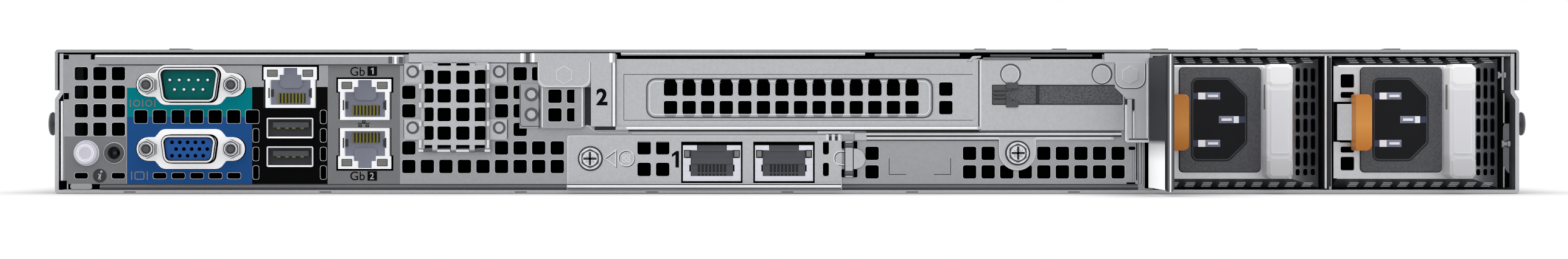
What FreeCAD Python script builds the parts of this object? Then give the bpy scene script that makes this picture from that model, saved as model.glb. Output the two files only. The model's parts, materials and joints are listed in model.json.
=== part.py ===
import FreeCAD
import Part
import math
import operator
import os
import types
import Sketcher

# One-unit rack server, built as separate pieces around a folded sheet-steel chassis.
# X runs to the right seen from behind, Y runs to the front and Z runs up. The rear panel faces -Y,
# the chassis stands on Z = 0, and the middle of the whole length lies on Y = 0. Lengths are in mm.

SIZES = {
    # Whole server
    "body_width": 434.0,
    "body_height": 42.8,
    "body_depth": 733.8,
    "rear_reach": 38.85,
    "front_reach": 22.0,
    "rack_width": 482.0,
    "rack_hole_span": 465.1,
    "sheet": 1.2,
    "cover_sheet": 0.9,
    "panel_sheet": 1.0,
    "plate_sheet": 0.8,
    "seat_gap": 0.3,
    "slide_gap": 0.5,
    "side_gap": 0.9,
    "heel_gap": 0.08,
    # Chassis tray
    "wall_jog": 1.4,
    "shoulder_drop": 14.7,
    "shoulder_rise": 2.1,
    "shoulder_fold": 0.36,
    "tray_corner": 1.0,
    "boss_height": 2.8,
    "boss_radius": 3.0,
    "boss_pitch_x": 95.0,
    "boss_pitch_y": 160.0,
    "board_sheet": 1.5,
    # Rail studs
    "stud_z": 20.8,
    "stud_head_radius": 3.6,
    "stud_neck_radius": 1.9,
    "stud_neck_length": 4.4,
    "stud_head_length": 1.9,
    "stud_first_y": 16.0,
    "stud_pitch": 300.0,
    # Top cover and its latch
    "cover_corner": 1.0,
    "lip_depth": 12.1,
    "pan_width": 74.0,
    "pan_length": 128.0,
    "pan_depth": 6.0,
    "pan_from_rear": 330.0,
    "latch_height": 4.2,
    "latch_gap": 2.0,
    "latch_pin_radius": 1.5,
    "latch_grip_width": 46.0,
    "latch_grip_length": 26.0,
    # Perforation
    "hole_width": 4.0,
    "hole_pitch": 5.5,
    "slot_height": 1.8,
    # Rear panel
    "panel_drop": 1.5,
    "strip_drop": 4.4,
    "strip_height": 2.7,
    "strip_from_left": 12.1,
    "strip_length": 91.4,
    "notch_width": 1.3,
    "notch_depth": 1.5,
    "vents_from_left": 7.85,
    "vents_z": 19.15,
    "row_from_left": 25.53,
    "row_z": 22.85,
    "slots_z": 5.36,
    "slot_row_from_left": 31.12,
    "tall_slots_from_left": 59.6,
    "tall_slots_gap": 20.0,
    "tall_slots_z": 6.3,
    "grid_from_left": 104.9,
    "grid_z": 8.1,
    "far_grid_from_right": 118.9,
    "far_grid_z": 6.5,
    # D-shaped ports
    "port_from_left": 40.4,
    "serial_drop": 10.5,
    "video_z": 13.3,
    "flange_width": 19.8,
    "flange_height": 11.7,
    "flange_ear": 7.1,
    "flange_sheet": 0.6,
    "flange_corner": 2.4,
    "ring_wall": 0.6,
    "ring_reach": 3.4,
    "ring_slope": 1.5,
    "ring_corner": 2.0,
    "ring_inner_bevel": 0.8,
    "serial_ring_width": 17.5,
    "serial_ring_height": 9.8,
    "video_ring_width": 16.4,
    "video_ring_height": 8.1,
    "insert_depth": 9.0,
    "insert_gap": 0.1,
    "video_recess": 0.8,
    "pin_width": 1.0,
    "pin_length": 2.6,
    "pin_pitch": 2.77,
    "pin_row_gap": 2.84,
    "standoff_span": 25.0,
    "standoff_radius": 2.9,
    "standoff_length": 3.0,
    # Round button and jack at the left
    "button_from_left": 9.4,
    "button_z": 12.1,
    "button_radius": 3.5,
    "button_reach": 1.6,
    "button_depth": 6.0,
    "button_travel": 1.0,
    "status_from_left": 17.6,
    "status_radius": 3.1,
    "status_bore": 2.2,
    "status_depth": 9.0,
    # Network jacks in the rear panel
    "jack_width": 15.4,
    "jack_height": 11.9,
    "jack_depth": 18.0,
    "jack_proud": 0.4,
    "jack_opening": 11.8,
    "jack_opening_height": 6.8,
    "jack_sill": 1.4,
    "jack_step_width": 6.2,
    "jack_step_height": 1.5,
    "jack_latch_width": 4.2,
    "jack_cavity": 13.0,
    "management_from_left": 69.8,
    "management_drop": 11.25,
    "lan_from_left": 91.9,
    "lan_drop": 14.6,
    "lan_z": 13.45,
    "contact_width": 0.45,
    "contact_pitch": 1.01,
    "contact_length": 6.0,
    "contact_height": 1.6,
    "contact_recess": 2.0,
    # USB ports
    "usb_z": 11.0,
    "usb_gap": 8.5,
    "usb_width": 13.9,
    "usb_height": 6.2,
    "usb_wall": 0.45,
    "usb_depth": 14.0,
    "usb_proud": 0.6,
    "tongue_height": 1.9,
    "tongue_inset": 1.1,
    "tongue_recess": 1.2,
    # Vent blank and riveted bracket
    "vent_from_left": 109.0,
    "vent_width": 19.7,
    "vent_low": 12.2,
    "vent_drop": 4.1,
    "vent_proud": 4.0,
    "vent_bend": 0.9,
    "vent_hole_inset": 1.4,
    "tab_reach": 5.4,
    "tab_height": 6.2,
    "low_tab_z": 15.9,
    "bracket_from_left": 137.8,
    "bracket_flange": 6.4,
    "bracket_face": 12.1,
    "bracket_low": 19.4,
    "bracket_drop": 10.2,
    "bracket_rise": 1.4,
    # Riser cage, slot blank, second riser
    "strap_drop": 0.5,
    "strap_height": 3.4,
    "strap_from_left": 105.0,
    "strap_flat": 32.5,
    "strap_bend": 5.4,
    "strap_step": 2.2,
    "cage_tab_from_left": 143.4,
    "cage_tab_width": 15.6,
    "cage_tab_drop": 11.3,
    "cage_tab_corner": 2.0,
    "hexagon_radius": 2.6,
    "emboss": 0.25,
    "plate_from_left": 159.1,
    "plate_width": 7.2,
    "plate_low": 20.0,
    "blank_drop": 2.9,
    "blank_low": 19.0,
    "blank_gap": 0.2,
    "pan_margin_x": 9.3,
    "pan_margin_top": 5.8,
    "pan_margin_low": 3.6,
    "pan_corner": 2.5,
    "pan_relief": 0.35,
    "pan_end": 13.4,
    "blank_hole_inset": 6.7,
    "blank_hole_z": 25.56,
    "blank_flange": 1.2,
    "riser_from_guard": 50.4,
    "riser_width": 42.7,
    "window_low": 26.5,
    "window_height": 5.7,
    "window_inset": 3.6,
    "window_end": 0.6,
    "clip_width": 7.9,
    "clip_rise": 1.2,
    "bracket_strap_width": 13.4,
    "bracket_plate_width": 10.3,
    "bracket_plate_low": 16.5,
    "bracket_tab_corner": 2.6,
    "hook_width": 6.7,
    "hook_high": 28.0,
    "hook_sheet": 1.3,
    # Riser rail and screws
    "rail_length": 77.0,
    "rail_low": 15.8,
    "rail_height": 2.4,
    "rail_tab_width": 10.7,
    "rail_tab_from_guard": 39.4,
    "rail_screw_z": 12.2,
    "screw_radius": 3.7,
    "screw_height": 2.6,
    "screw_washer": 0.8,
    # Network card
    "card_from_left": 151.9,
    "card_width": 81.3,
    "card_low": 3.1,
    "card_height": 14.2,
    "card_flange": 1.6,
    "card_screw_from_left": 158.9,
    "card_screw_z": 10.4,
    "card_jack_first": 42.85,
    "card_jack_pitch": 21.35,
    "card_jack_z": 9.35,
    "card_opening_width": 18.2,
    "card_opening_height": 12.3,
    "card_jack_width": 16.6,
    "card_jack_height": 11.0,
    "card_hole_x": 22.8,
    "card_hole_z": 7.25,
    "card_hole_pitch": 6.4,
    "card_slot_x": 76.6,
    "clip_from_card": 0.6,
    "clip_length": 11.0,
    "clip_low": 5.4,
    "clip_height": 9.9,
    # Power supplies and their cage
    "guard_from_right": 109.4,
    "guard_sheet": 0.8,
    "guard_low": 2.0,
    "guard_high": 40.0,
    "guard_roll": 1.0,
    "cage_depth": 196.0,
    "psu_pitch": 53.66,
    "psu_width": 49.9,
    "psu_depth": 185.0,
    "psu_face_width": 40.2,
    "psu_face_low": 4.45,
    "psu_face_high": 38.0,
    "psu_nose": 9.0,
    "psu_wall": 0.8,
    "psu_cavity": 24.0,
    "divider_from_psu": 1.4,
    "grille_first_x": 42.4,
    "grille_first_z": 10.23,
    "grille_pitch_x": 2.75,
    "grille_pitch_z": 5.02,
    "grille_hole_width": 1.5,
    "grille_hole_height": 3.97,
    "face_hole_x": 3.08,
    "face_hole_z": 8.96,
    "face_slot_z": 13.11,
    "inlet_x": 7.0,
    "inlet_width": 23.8,
    "inlet_low": 6.6,
    "inlet_height": 30.75,
    "inlet_proud": 0.6,
    "inlet_rim": 1.8,
    "inlet_bevel": 0.7,
    "inlet_depth": 20.0,
    "socket_inset": 4.0,
    "socket_width": 15.8,
    "socket_rise": 3.5,
    "socket_height": 23.9,
    "socket_chamfer": 5.3,
    "socket_depth": 16.5,
    "blade_width": 4.1,
    "blade_height": 2.0,
    "blade_length": 14.0,
    "blade_span": 14.0,
    "blade_x": 9.75,
    "earth_step": 3.95,
    "handle_x": 31.4,
    "handle_width": 7.6,
    "handle_low": 4.6,
    "handle_high": 38.3,
    "handle_reach": 9.0,
    "handle_shoulder": 6.8,
    "handle_taper": 2.0,
    "grip_low": 11.7,
    "grip_high": 31.5,
    "grip_relief": 1.1,
    "finger_depth": 5.2,
    "release_x": 2.85,
    "release_width": 5.8,
    "release_low": 12.9,
    "release_high": 29.4,
    "release_reach": 8.3,
    "release_lift": 1.5,
    "release_corner": 1.5,
    "leaf_sheet": 0.8,
    "leaf_low": 15.7,
    "leaf_high": 26.6,
    "leaf_root_x": 1.2,
    "leaf_depth": 18.0,
    # Fans
    "fan_from_rear": 470.0,
    "fan_pitch": 78.0,
    "fan_width": 40.0,
    "fan_length": 28.0,
    "fan_bore": 18.6,
    "fan_hub": 8.5,
    "fan_strut": 2.4,
    "fan_hub_length": 14.0,
    "fan_blade_sheet": 1.4,
    "fan_blade_chord": 11.0,
    "fan_blade_tip": 17.2,
    # Board and what stands on it
    "board_width": 300.0,
    "board_length": 420.0,
    "board_from_left": 6.0,
    "board_from_rear": 24.0,
    "sink_width": 78.0,
    "sink_length": 108.0,
    "sink_height": 25.0,
    "sink_base": 4.0,
    "sink_fin_pitch": 9.5,
    "sink_slot": 7.7,
    "sink_from_rear": 210.0,
    "sink_first": 45.0,
    "sink_pitch": 138.0,
    "module_width": 133.0,
    "module_height": 28.0,
    "module_sheet": 3.6,
    "module_pitch": 9.0,
    "modules_from_rear": 335.0,
    "modules_from_left": 60.0,
    # Drives and the front
    "bay_pitch": 105.6,
    "carrier_width": 103.6,
    "carrier_height": 27.6,
    "carrier_front": 12.0,
    "carrier_rim": 2.2,
    "drive_width": 101.6,
    "drive_height": 26.1,
    "drive_length": 147.0,
    "cage_length": 200.0,
    "carrier_slot_width": 9.0,
    "carrier_slot_height": 2.6,
    "carrier_slot_pitch": 11.5,
    "carrier_slot_row": 5.0,
    "lever_sheet": 3.2,
    "lever_length": 82.0,
    "lever_height": 12.0,
    "lever_inset": 6.0,
    "front_hole_width": 24.0,
    "front_hole_height": 6.4,
    "front_hole_pitch": 28.0,
    "front_strip_low": 30.6,
    "backplane_sheet": 2.0,
    "backplane_gap": 8.0,
    # Rack ears and the power button
    "ear_sheet": 2.4,
    "ear_low": 0.6,
    "ear_hole_radius": 3.4,
    "ear_block_width": 9.6,
    "ear_block_margin": 3.0,
    "ear_leg": 30.0,
    "power_radius": 3.6,
    "power_z": 30.0,
    "power_reach": 0.6,
    "power_depth": 8.0,
}

FAN_COUNT = 5
DRIVE_COUNT = 4
STUDS_PER_SIDE = 3
BOSS_ROWS = 3
BOSS_COLUMNS = 3
MODULE_COUNT = 8
TOUCH = 0.001
BLADE_COUNT = 5
BLADE_TILT = 42.0
ROUND_SIDES = 16
STUD_SIDES = 12
SINK_COUNT = 2

doc = FreeCAD.newDocument("rack_server")
sheet = doc.addObject("Spreadsheet::Sheet", "sizes")
for row, (alias, length) in enumerate(SIZES.items(), 1):
    sheet.set(f"A{row}", alias)
    sheet.set(f"B{row}", str(length))
    sheet.setAlias(f"B{row}", alias)
doc.recompute()


class Size:
    """A length together with the expression that ties it to the sheet."""

    def __init__(self, value, text=None):
        self.value = float(value)
        self.text = text or repr(float(value))

    def __add__(self, other):
        return combine(self, "+", other)

    def __radd__(self, other):
        return combine(other, "+", self)

    def __sub__(self, other):
        return combine(self, "-", other)

    def __rsub__(self, other):
        return combine(other, "-", self)

    def __mul__(self, other):
        return combine(self, "*", other)

    def __rmul__(self, other):
        return combine(other, "*", self)

    def __truediv__(self, other):
        return combine(self, "/", other)

    def __neg__(self):
        return combine(0, "-", self)


OPERATIONS = {"+": operator.add, "-": operator.sub, "*": operator.mul, "/": operator.truediv}


def size_of(length):
    """A plain number becomes a fixed size."""
    return length if isinstance(length, Size) else Size(length)


def combine(left, sign, right):
    left = size_of(left)
    right = size_of(right)
    return Size(OPERATIONS[sign](left.value, right.value), f"({left.text} {sign} {right.text})")


d = types.SimpleNamespace(**{alias: Size(length, f"sizes.{alias}") for alias, length in SIZES.items()})


def bind(item, field, size):
    item.setExpression(field, size_of(size).text)


def around(centre, width):
    """The low and high end of a width laid evenly about a centre."""
    return centre - width / 2, centre + width / 2


def after(start, width):
    return start, start + width


def inset(span, margin):
    """A span drawn in by a margin at both ends."""
    return span[0] + margin, span[1] - margin


def rectangle(u, v):
    return [(u[0], v[0]), (u[1], v[0]), (u[1], v[1]), (u[0], v[1])]


def circle(u, v, radius):
    return types.SimpleNamespace(centre=(u, v), radius=radius)


def polygon(u, v, radius, sides):
    """An outline with even sides that stands on a corner."""
    corners = [math.radians(90 + 360 / sides * step) for step in range(sides)]
    return [(u + radius * math.cos(angle), v + radius * math.sin(angle)) for angle in corners]


def hexagon(u, v, radius):
    return polygon(u, v, radius, 6)


def fix_point(sketch, geometry, point, u, v):
    for kind, size in (("DistanceX", size_of(u)), ("DistanceY", size_of(v))):
        number = sketch.addConstraint(Sketcher.Constraint(kind, -1, 1, geometry, point, size.value))
        bind(sketch, f"Constraints[{number}]", size)


def draw_polygon(sketch, corners):
    first = sketch.GeometryCount
    points = [FreeCAD.Vector(size_of(u).value, size_of(v).value, 0) for u, v in corners]
    for here, there in zip(points, points[1:] + points[:1]):
        sketch.addGeometry(Part.LineSegment(here, there))
    for step, (u, v) in enumerate(corners):
        following = first + (step + 1) % len(corners)
        sketch.addConstraint(Sketcher.Constraint("Coincident", first + step, 2, following, 1))
        fix_point(sketch, first + step, 1, u, v)


def draw_circle(sketch, ring):
    u, v = ring.centre
    middle = FreeCAD.Vector(size_of(u).value, size_of(v).value, 0)
    number = sketch.addGeometry(Part.Circle(middle, FreeCAD.Vector(0, 0, 1), ring.radius.value))
    fix_point(sketch, number, 3, u, v)
    radius = sketch.addConstraint(Sketcher.Constraint("Radius", number, ring.radius.value))
    bind(sketch, f"Constraints[{radius}]", ring.radius)


def runs_through(edge, axis, places):
    """Whether an edge runs along the axis through one of the places across it."""
    across = [number for number in range(3) if "XYZ"[number] != axis]
    for place in places:
        offsets = [
            abs(vertex.Point[number] - size_of(length).value)
            for vertex in edge.Vertexes
            for number, length in zip(across, place)
        ]
        if max(offsets) < TOUCH:
            return True
    return False


class Piece:
    """A solid made of pads, pockets and patterns drawn on the origin planes of its own body."""

    def __init__(self, name):
        self.name = name
        self.body = doc.addObject("PartDesign::Body", name)
        self.origin = {item.Role: item for item in self.body.Origin.OriginFeatures}
        self.count = 0

    def feature(self, kind):
        self.count += 1
        return self.body.newObject(kind, f"{self.name}_step_{self.count}")

    def sketch(self, plane, level, loops):
        item = self.feature("Sketcher::SketchObject")
        item.AttachmentSupport = (self.origin[plane + "_Plane"], [""])
        item.MapMode = "FlatFace"
        bind(item, "AttachmentOffset.Base.z", -level if plane == "XZ" else level)
        for loop in loops:
            draw = draw_polygon if isinstance(loop, list) else draw_circle
            draw(item, loop)
        return item

    def pad(self, plane, span, *loops):
        profile = self.sketch(plane, size_of(span[0]), loops)
        item = self.feature("PartDesign::Pad")
        item.Profile = profile
        item.Reversed = plane == "XZ"
        bind(item, "Length", span[1] - span[0])
        return item

    def pocket(self, plane, span, *loops):
        profile = self.sketch(plane, size_of(span[0]), loops)
        item = self.feature("PartDesign::Pocket")
        item.Profile = profile
        item.Reversed = plane != "XZ"
        bind(item, "Length", span[1] - span[0])
        return item

    def loft(self, kind, plane, near, far):
        sections = [self.sketch(plane, size_of(level), [loop]) for level, loop in (near, far)]
        item = self.feature(f"PartDesign::{kind}Loft")
        item.Profile = sections[0]
        item.Sections = sections[1:]
        item.Ruled = True
        return item

    def repeat(self, feature, axis, pitch, count):
        """Copies a feature in a row along an axis."""
        item = self.feature("PartDesign::LinearPattern")
        item.Originals = [feature]
        item.Direction = (self.origin[axis + "_Axis"], [""])
        item.Mode = "Spacing"
        bind(item, "Offset", pitch)
        item.Occurrences = count
        self.body.Tip = item

    def dress_edges(self, kind, field, amount, axis, places):
        doc.recompute()
        tip = self.body.Tip
        names = [
            f"Edge{number}"
            for number, edge in enumerate(tip.Shape.Edges, 1)
            if runs_through(edge, axis, places)
        ]
        item = self.feature(kind)
        item.Base = (tip, names)
        bind(item, field, amount)

    def round_edges(self, radius, axis, *places):
        self.dress_edges("PartDesign::Fillet", "Radius", radius, axis, places)

    def bevel_edges(self, amount, axis, *places):
        self.dress_edges("PartDesign::Chamfer", "Size", amount, axis, places)

    def perforate(self, span, first, counts, width=d.hole_width, height=d.hole_width, pitches=None):
        """Holes through a sheet that faces -Y: one column, from the first hole up, copied to the right."""
        across, up = pitches or (d.hole_pitch, d.hole_pitch)
        x = around(first[0], width)
        column = [rectangle(x, around(first[1] + row * up, height)) for row in range(counts[1])]
        holes = self.pocket("XZ", span, *column)
        if counts[0] > 1:
            self.repeat(holes, "X", across, counts[0])


TURNS = {
    "X": FreeCAD.Rotation(FreeCAD.Vector(0, 1, 0), 90),
    "Y": FreeCAD.Rotation(FreeCAD.Vector(1, 0, 0), -90),
    "Z": FreeCAD.Rotation(),
}


def place(item, base):
    for axis, size in zip("xyz", base):
        bind(item, f"Placement.Base.{axis}", size)


def box(name, x, y, z):
    item = doc.addObject("Part::Box", name)
    for field, (low, high) in zip(("Length", "Width", "Height"), (x, y, z)):
        bind(item, field, high - low)
    place(item, (x[0], y[0], z[0]))
    return item


def along(axis, centre, start):
    """The base point of a rod: its start along the axis and its centre across it."""
    base = list(centre)
    base.insert("XYZ".index(axis), start)
    return base


def rod(name, axis, radius, centre, span):
    item = doc.addObject("Part::Cylinder", name)
    item.Placement = FreeCAD.Placement(FreeCAD.Vector(), TURNS[axis])
    bind(item, "Radius", radius)
    bind(item, "Height", span[1] - span[0])
    place(item, along(axis, centre, span[0]))
    return item


def prism(name, sides, axis, radius, centre, span):
    """A bar with flat sides."""
    item = doc.addObject("Part::Prism", name)
    item.Polygon = sides
    item.Placement = FreeCAD.Placement(FreeCAD.Vector(), TURNS[axis])
    bind(item, "Circumradius", radius)
    bind(item, "Height", span[1] - span[0])
    place(item, along(axis, centre, span[0]))
    return item


def fuse(name, *items):
    item = doc.addObject("Part::MultiFuse", name)
    item.Shapes = list(items)
    return item


def group(name, items):
    item = doc.addObject("Part::Compound", name)
    item.Links = list(items)
    return item


def cut(name, base, *tools):
    item = doc.addObject("Part::Cut", name)
    item.Base = base
    item.Tool = tools[0] if len(tools) == 1 else group(name + "_tools", tools)
    return item


# Places shared by several pieces
half = d.body_width / 2
rear = d.rear_reach - (d.rear_reach + d.body_depth + d.front_reach) / 2
front = rear + d.body_depth
top = d.body_height
cover_under = top - d.cover_sheet
wall_top = cover_under - d.seat_gap
wall_inner = half - d.wall_jog - d.sheet
board_under = d.sheet + d.boss_height
board_top = board_under + d.board_sheet
panel_top = top - d.panel_drop
skin = (rear - d.panel_sheet, rear)
through = (rear - 2 * d.panel_sheet, rear + 2 * d.panel_sheet)


def from_left(offset):
    return offset - half


guard_x = half - d.guard_from_right
guard = (guard_x, guard_x + d.guard_sheet)
board_left = from_left(d.board_from_left)
board_rear = rear + d.board_from_rear
cage_rear = front - d.cage_length
cover_front = cage_rear - d.slide_gap


def mirrored(corners):
    """A left half that continues a right half, so that both close one outline."""
    return corners + [(-x, z) for x, z in reversed(corners)]


def chassis_tray():
    shoulder = top - d.shoulder_drop
    jogged = half - d.wall_jog
    tray = Piece("chassis_tray")
    outline = mirrored([
        (half, 0),
        (half, shoulder),
        (jogged, shoulder + d.shoulder_rise),
        (jogged, wall_top),
        (wall_inner, wall_top),
        (wall_inner, shoulder + d.shoulder_rise - d.shoulder_fold),
        (half - d.sheet, shoulder - d.shoulder_fold),
        (half - d.sheet, d.sheet),
    ])
    tray.pad("XZ", (rear, front), outline)
    tray.round_edges(d.tray_corner, "Y", (half, 0), (-half, 0))
    first_x = board_left + 4 * d.boss_radius
    rows = [board_rear + 4 * d.boss_radius + row * d.boss_pitch_y for row in range(BOSS_ROWS)]
    bosses = tray.pad("XY", (d.sheet, board_under), *[hexagon(first_x, y, d.boss_radius) for y in rows])
    tray.repeat(bosses, "X", d.boss_pitch_x, BOSS_COLUMNS)
    return tray.body


def rail_studs():
    studs = []
    for side in (-1, 1):
        for step in range(STUDS_PER_SIDE):
            centre = (rear + d.stud_first_y + step * d.stud_pitch, d.stud_z)
            reach = d.stud_neck_length + d.stud_head_length
            spans = [(half, half + d.stud_neck_length), (half + d.stud_neck_length, half + reach)]
            if side < 0:
                spans = [(-high, -low) for low, high in spans]
            name = f"stud_{'left' if side < 0 else 'right'}_{step}"
            neck = prism(name + "_neck", 6, "X", d.stud_neck_radius, centre, spans[0])
            head = prism(name + "_head", STUD_SIDES, "X", d.stud_head_radius, centre, spans[1])
            studs.append(fuse(name, neck, head))
    return group("rail_studs", studs)


def cover_outline():
    """Section of the top sheet: a wide channel with a lip down each side."""
    lip = top - d.lip_depth
    inner = half - d.cover_sheet
    return mirrored([(half, lip), (half, top)]) + mirrored([(-inner, lip), (-inner, cover_under)])


pan_x = (-d.pan_width / 2, d.pan_width / 2)
pan_y = after(rear + d.pan_from_rear, d.pan_length)
pan_floor = top - d.pan_depth


def top_cover():
    cover = Piece("top_cover")
    cover.pad("XZ", (rear, cover_front), cover_outline())
    cover.round_edges(d.cover_corner, "Y", (half, top), (-half, top))
    wall = d.cover_sheet
    cover.pad("XY", (pan_floor - wall, cover_under), rectangle(inset(pan_x, -wall), inset(pan_y, -wall)))
    cover.pocket("XY", (pan_floor, top + wall), rectangle(pan_x, pan_y))
    return cover.body


latch_x = inset(pan_x, d.latch_gap)
latch_y = inset(pan_y, d.latch_gap)
latch_pin = (latch_y[0] + d.latch_height / 2, pan_floor + d.seat_gap + d.latch_height / 2)


def cover_latch():
    low = pan_floor + d.seat_gap
    lever = Piece("cover_latch")
    lever.pad("XY", (low, low + d.latch_height), rectangle(latch_x, latch_y))
    heel = [(latch_y[0], low), (latch_y[0], low + d.latch_height)]
    lever.round_edges(d.latch_height / 2 - d.heel_gap, "X", *heel)
    grip = (latch_y[1] - 2 * d.latch_height - d.latch_grip_length, latch_y[1] - 2 * d.latch_height)
    span = (low + d.latch_height / 3, low + 2 * d.latch_height)
    lever.pocket("XY", span, rectangle(around(size_of(0), d.latch_grip_width), grip))
    pin_reach = d.latch_gap - d.seat_gap
    lever.pad("YZ", (latch_x[0] - pin_reach, latch_x[1] + pin_reach), circle(*latch_pin, d.latch_pin_radius))
    return lever.body


# Ports in the rear panel
port_x = from_left(d.port_from_left)
serial_z = top - d.serial_drop
button = (from_left(d.button_from_left), d.button_z)
status = (from_left(d.status_from_left), d.button_z)
management = (from_left(d.management_from_left), top - d.management_drop)
lan_upper = (from_left(d.lan_from_left), top - d.lan_drop)
lan_lower = (from_left(d.lan_from_left), d.lan_z)
JACKS = (("management", management, 1), ("lan_upper", lan_upper, 1), ("lan_lower", lan_lower, -1))
usb_centres = [(management[0], d.usb_z + step * d.usb_gap) for step in range(2)]
D_PORTS = {
    "serial": (serial_z, d.serial_ring_width, d.serial_ring_height),
    "video": (d.video_z, d.video_ring_width, d.video_ring_height),
}
vent_x = after(from_left(d.vent_from_left), d.vent_width)
vent_z = (d.vent_low, top - d.vent_drop)
vent_tabs = [
    (x, z)
    for x in ((vent_x[0] - d.tab_reach, vent_x[0]), (vent_x[1], vent_x[1] + d.tab_reach))
    for z in (after(d.low_tab_z, d.tab_height), (vent_z[1] - d.tab_height, vent_z[1]))
]
bracket_x = after(from_left(d.bracket_from_left), d.bracket_flange)
bracket_z = (d.bracket_low, top - d.bracket_drop)
strap_z = (top - d.strap_drop - d.strap_height, top - d.strap_drop)
riser_x = (guard_x - d.riser_from_guard, guard_x - d.riser_from_guard + d.riser_width)
plate_x = after(from_left(d.plate_from_left), d.plate_width)
blank_x = (plate_x[1] + d.blank_gap, riser_x[0] - d.blank_gap)
blank_z = (d.blank_low, top - d.blank_drop)
card_x = after(from_left(d.card_from_left), d.card_width)
card_z = after(d.card_low, d.card_height)
card_jacks = [card_x[0] + d.card_jack_first + step * d.card_jack_pitch for step in range(2)]
rail_tab_x = around(guard_x - d.rail_tab_from_guard, d.rail_tab_width)
rail_screw = (guard_x - d.rail_tab_from_guard, d.rail_screw_z)
card_screw = (from_left(d.card_screw_from_left), d.card_screw_z)


def ring_outline(centre_z, width, height, inset):
    """The D of a port shell, wider at the top, drawn an inset inside its outer face."""
    reach = width / 2 - inset
    low, high = around(centre_z, height - 2 * inset)
    narrow = reach - d.ring_slope
    return [(port_x - narrow, low), (port_x + narrow, low), (port_x + reach, high), (port_x - reach, high)]


def insert_back(width, height):
    """Width and height of the block behind a port's flange."""
    return width - 2 * (d.ring_wall + d.ring_slope + d.insert_gap), height - 2 * (d.ring_wall + d.insert_gap)


def rear_panel():
    panel = Piece("rear_panel")
    flat = (rear, rear + d.panel_sheet)
    panel.pad("XZ", flat, rectangle((-wall_inner, guard_x), (d.sheet, panel_top)))
    strip_x = after(from_left(d.strip_from_left), d.strip_length)
    strip_z = after(top - d.strip_drop, d.strip_height)
    panel.pad("XZ", skin, rectangle(strip_x, strip_z))
    notch_z = (panel_top - d.notch_depth, panel_top + d.notch_depth)
    notch = (strip_x[0] - d.notch_width, strip_x[0])
    panel.pocket("XZ", through, rectangle(notch, notch_z))
    for centre_z, width, height in D_PORTS.values():
        back = insert_back(width, height)
        gap = 2 * d.seat_gap
        opening = rectangle(around(port_x, back[0] + gap), around(centre_z, back[1] + gap))
        panel.pocket("XZ", through, opening)
    for _, (x, z), _ in JACKS:
        opening = rectangle(around(x, d.jack_width + d.seat_gap), around(z, d.jack_height + d.seat_gap))
        panel.pocket("XZ", through, opening)
    for x, z in usb_centres:
        opening = rectangle(around(x, d.usb_width + d.seat_gap), around(z, d.usb_height + d.seat_gap))
        panel.pocket("XZ", through, opening)
    panel.pocket("XZ", through, circle(*button, d.button_radius + d.seat_gap))
    panel.pocket("XZ", through, circle(*status, d.status_radius + d.seat_gap / 2))
    margin = 2 * d.panel_sheet
    panel.pocket("XZ", through, rectangle(inset(vent_x, margin), inset(vent_z, margin)))
    panel.pocket("XZ", through, rectangle(inset(blank_x, margin), inset(blank_z, margin)))
    behind_card = (card_z[0] + d.seat_gap, card_z[1] - margin)
    panel.pocket("XZ", through, rectangle(inset(card_x, margin), behind_card))
    perforate_panel(panel)
    return panel.body


def perforate_panel(panel):
    pitch = d.hole_pitch
    vents_x = from_left(d.vents_from_left)
    panel.perforate(through, (vents_x, d.vents_z), (3, 4))
    panel.perforate(through, (vents_x, d.slots_z), (2, 1), height=d.slot_height, pitches=(2 * pitch, pitch))
    panel.perforate(through, (from_left(d.row_from_left), d.row_z), (7, 1))
    slots = (from_left(d.slot_row_from_left), d.slots_z)
    panel.perforate(through, slots, (5, 1), height=d.slot_height)
    tall_x = from_left(d.tall_slots_from_left)
    panel.perforate(through, (tall_x, d.tall_slots_z), (1, 3), width=d.slot_height)
    panel.perforate(through, (tall_x + d.tall_slots_gap, d.tall_slots_z), (1, 4), width=d.slot_height)
    grid_x = from_left(d.grid_from_left)
    grid_rows = [d.grid_z + step * pitch for step in range(6)]
    panel.perforate(through, (grid_x, grid_rows[0]), (9, 1))
    panel.perforate(through, (grid_x, grid_rows[1]), (1, 1))
    panel.perforate(through, (grid_x, grid_rows[3]), (1, 2))
    panel.perforate(through, (grid_x + 5 * pitch, grid_rows[1]), (4, 1))
    panel.perforate(through, (grid_x + 5 * pitch, grid_rows[3]), (2, 2))
    panel.perforate(through, (grid_x + 6 * pitch, grid_rows[2]), (1, 1))
    panel.perforate(through, (grid_x + 6 * pitch, grid_rows[5]), (2, 1))
    far_x = half - d.far_grid_from_right - 8 * pitch
    panel.perforate(through, (far_x, d.far_grid_z), (9, 1))
    panel.perforate(through, (far_x, d.far_grid_z + pitch), (2, 1))
    panel.perforate(through, (far_x + 4 * pitch, d.far_grid_z + pitch), (5, 1))
    panel.perforate(through, (card_x[1] + 2 * d.hole_width + d.panel_sheet, d.far_grid_z), (1, 2))


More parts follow.
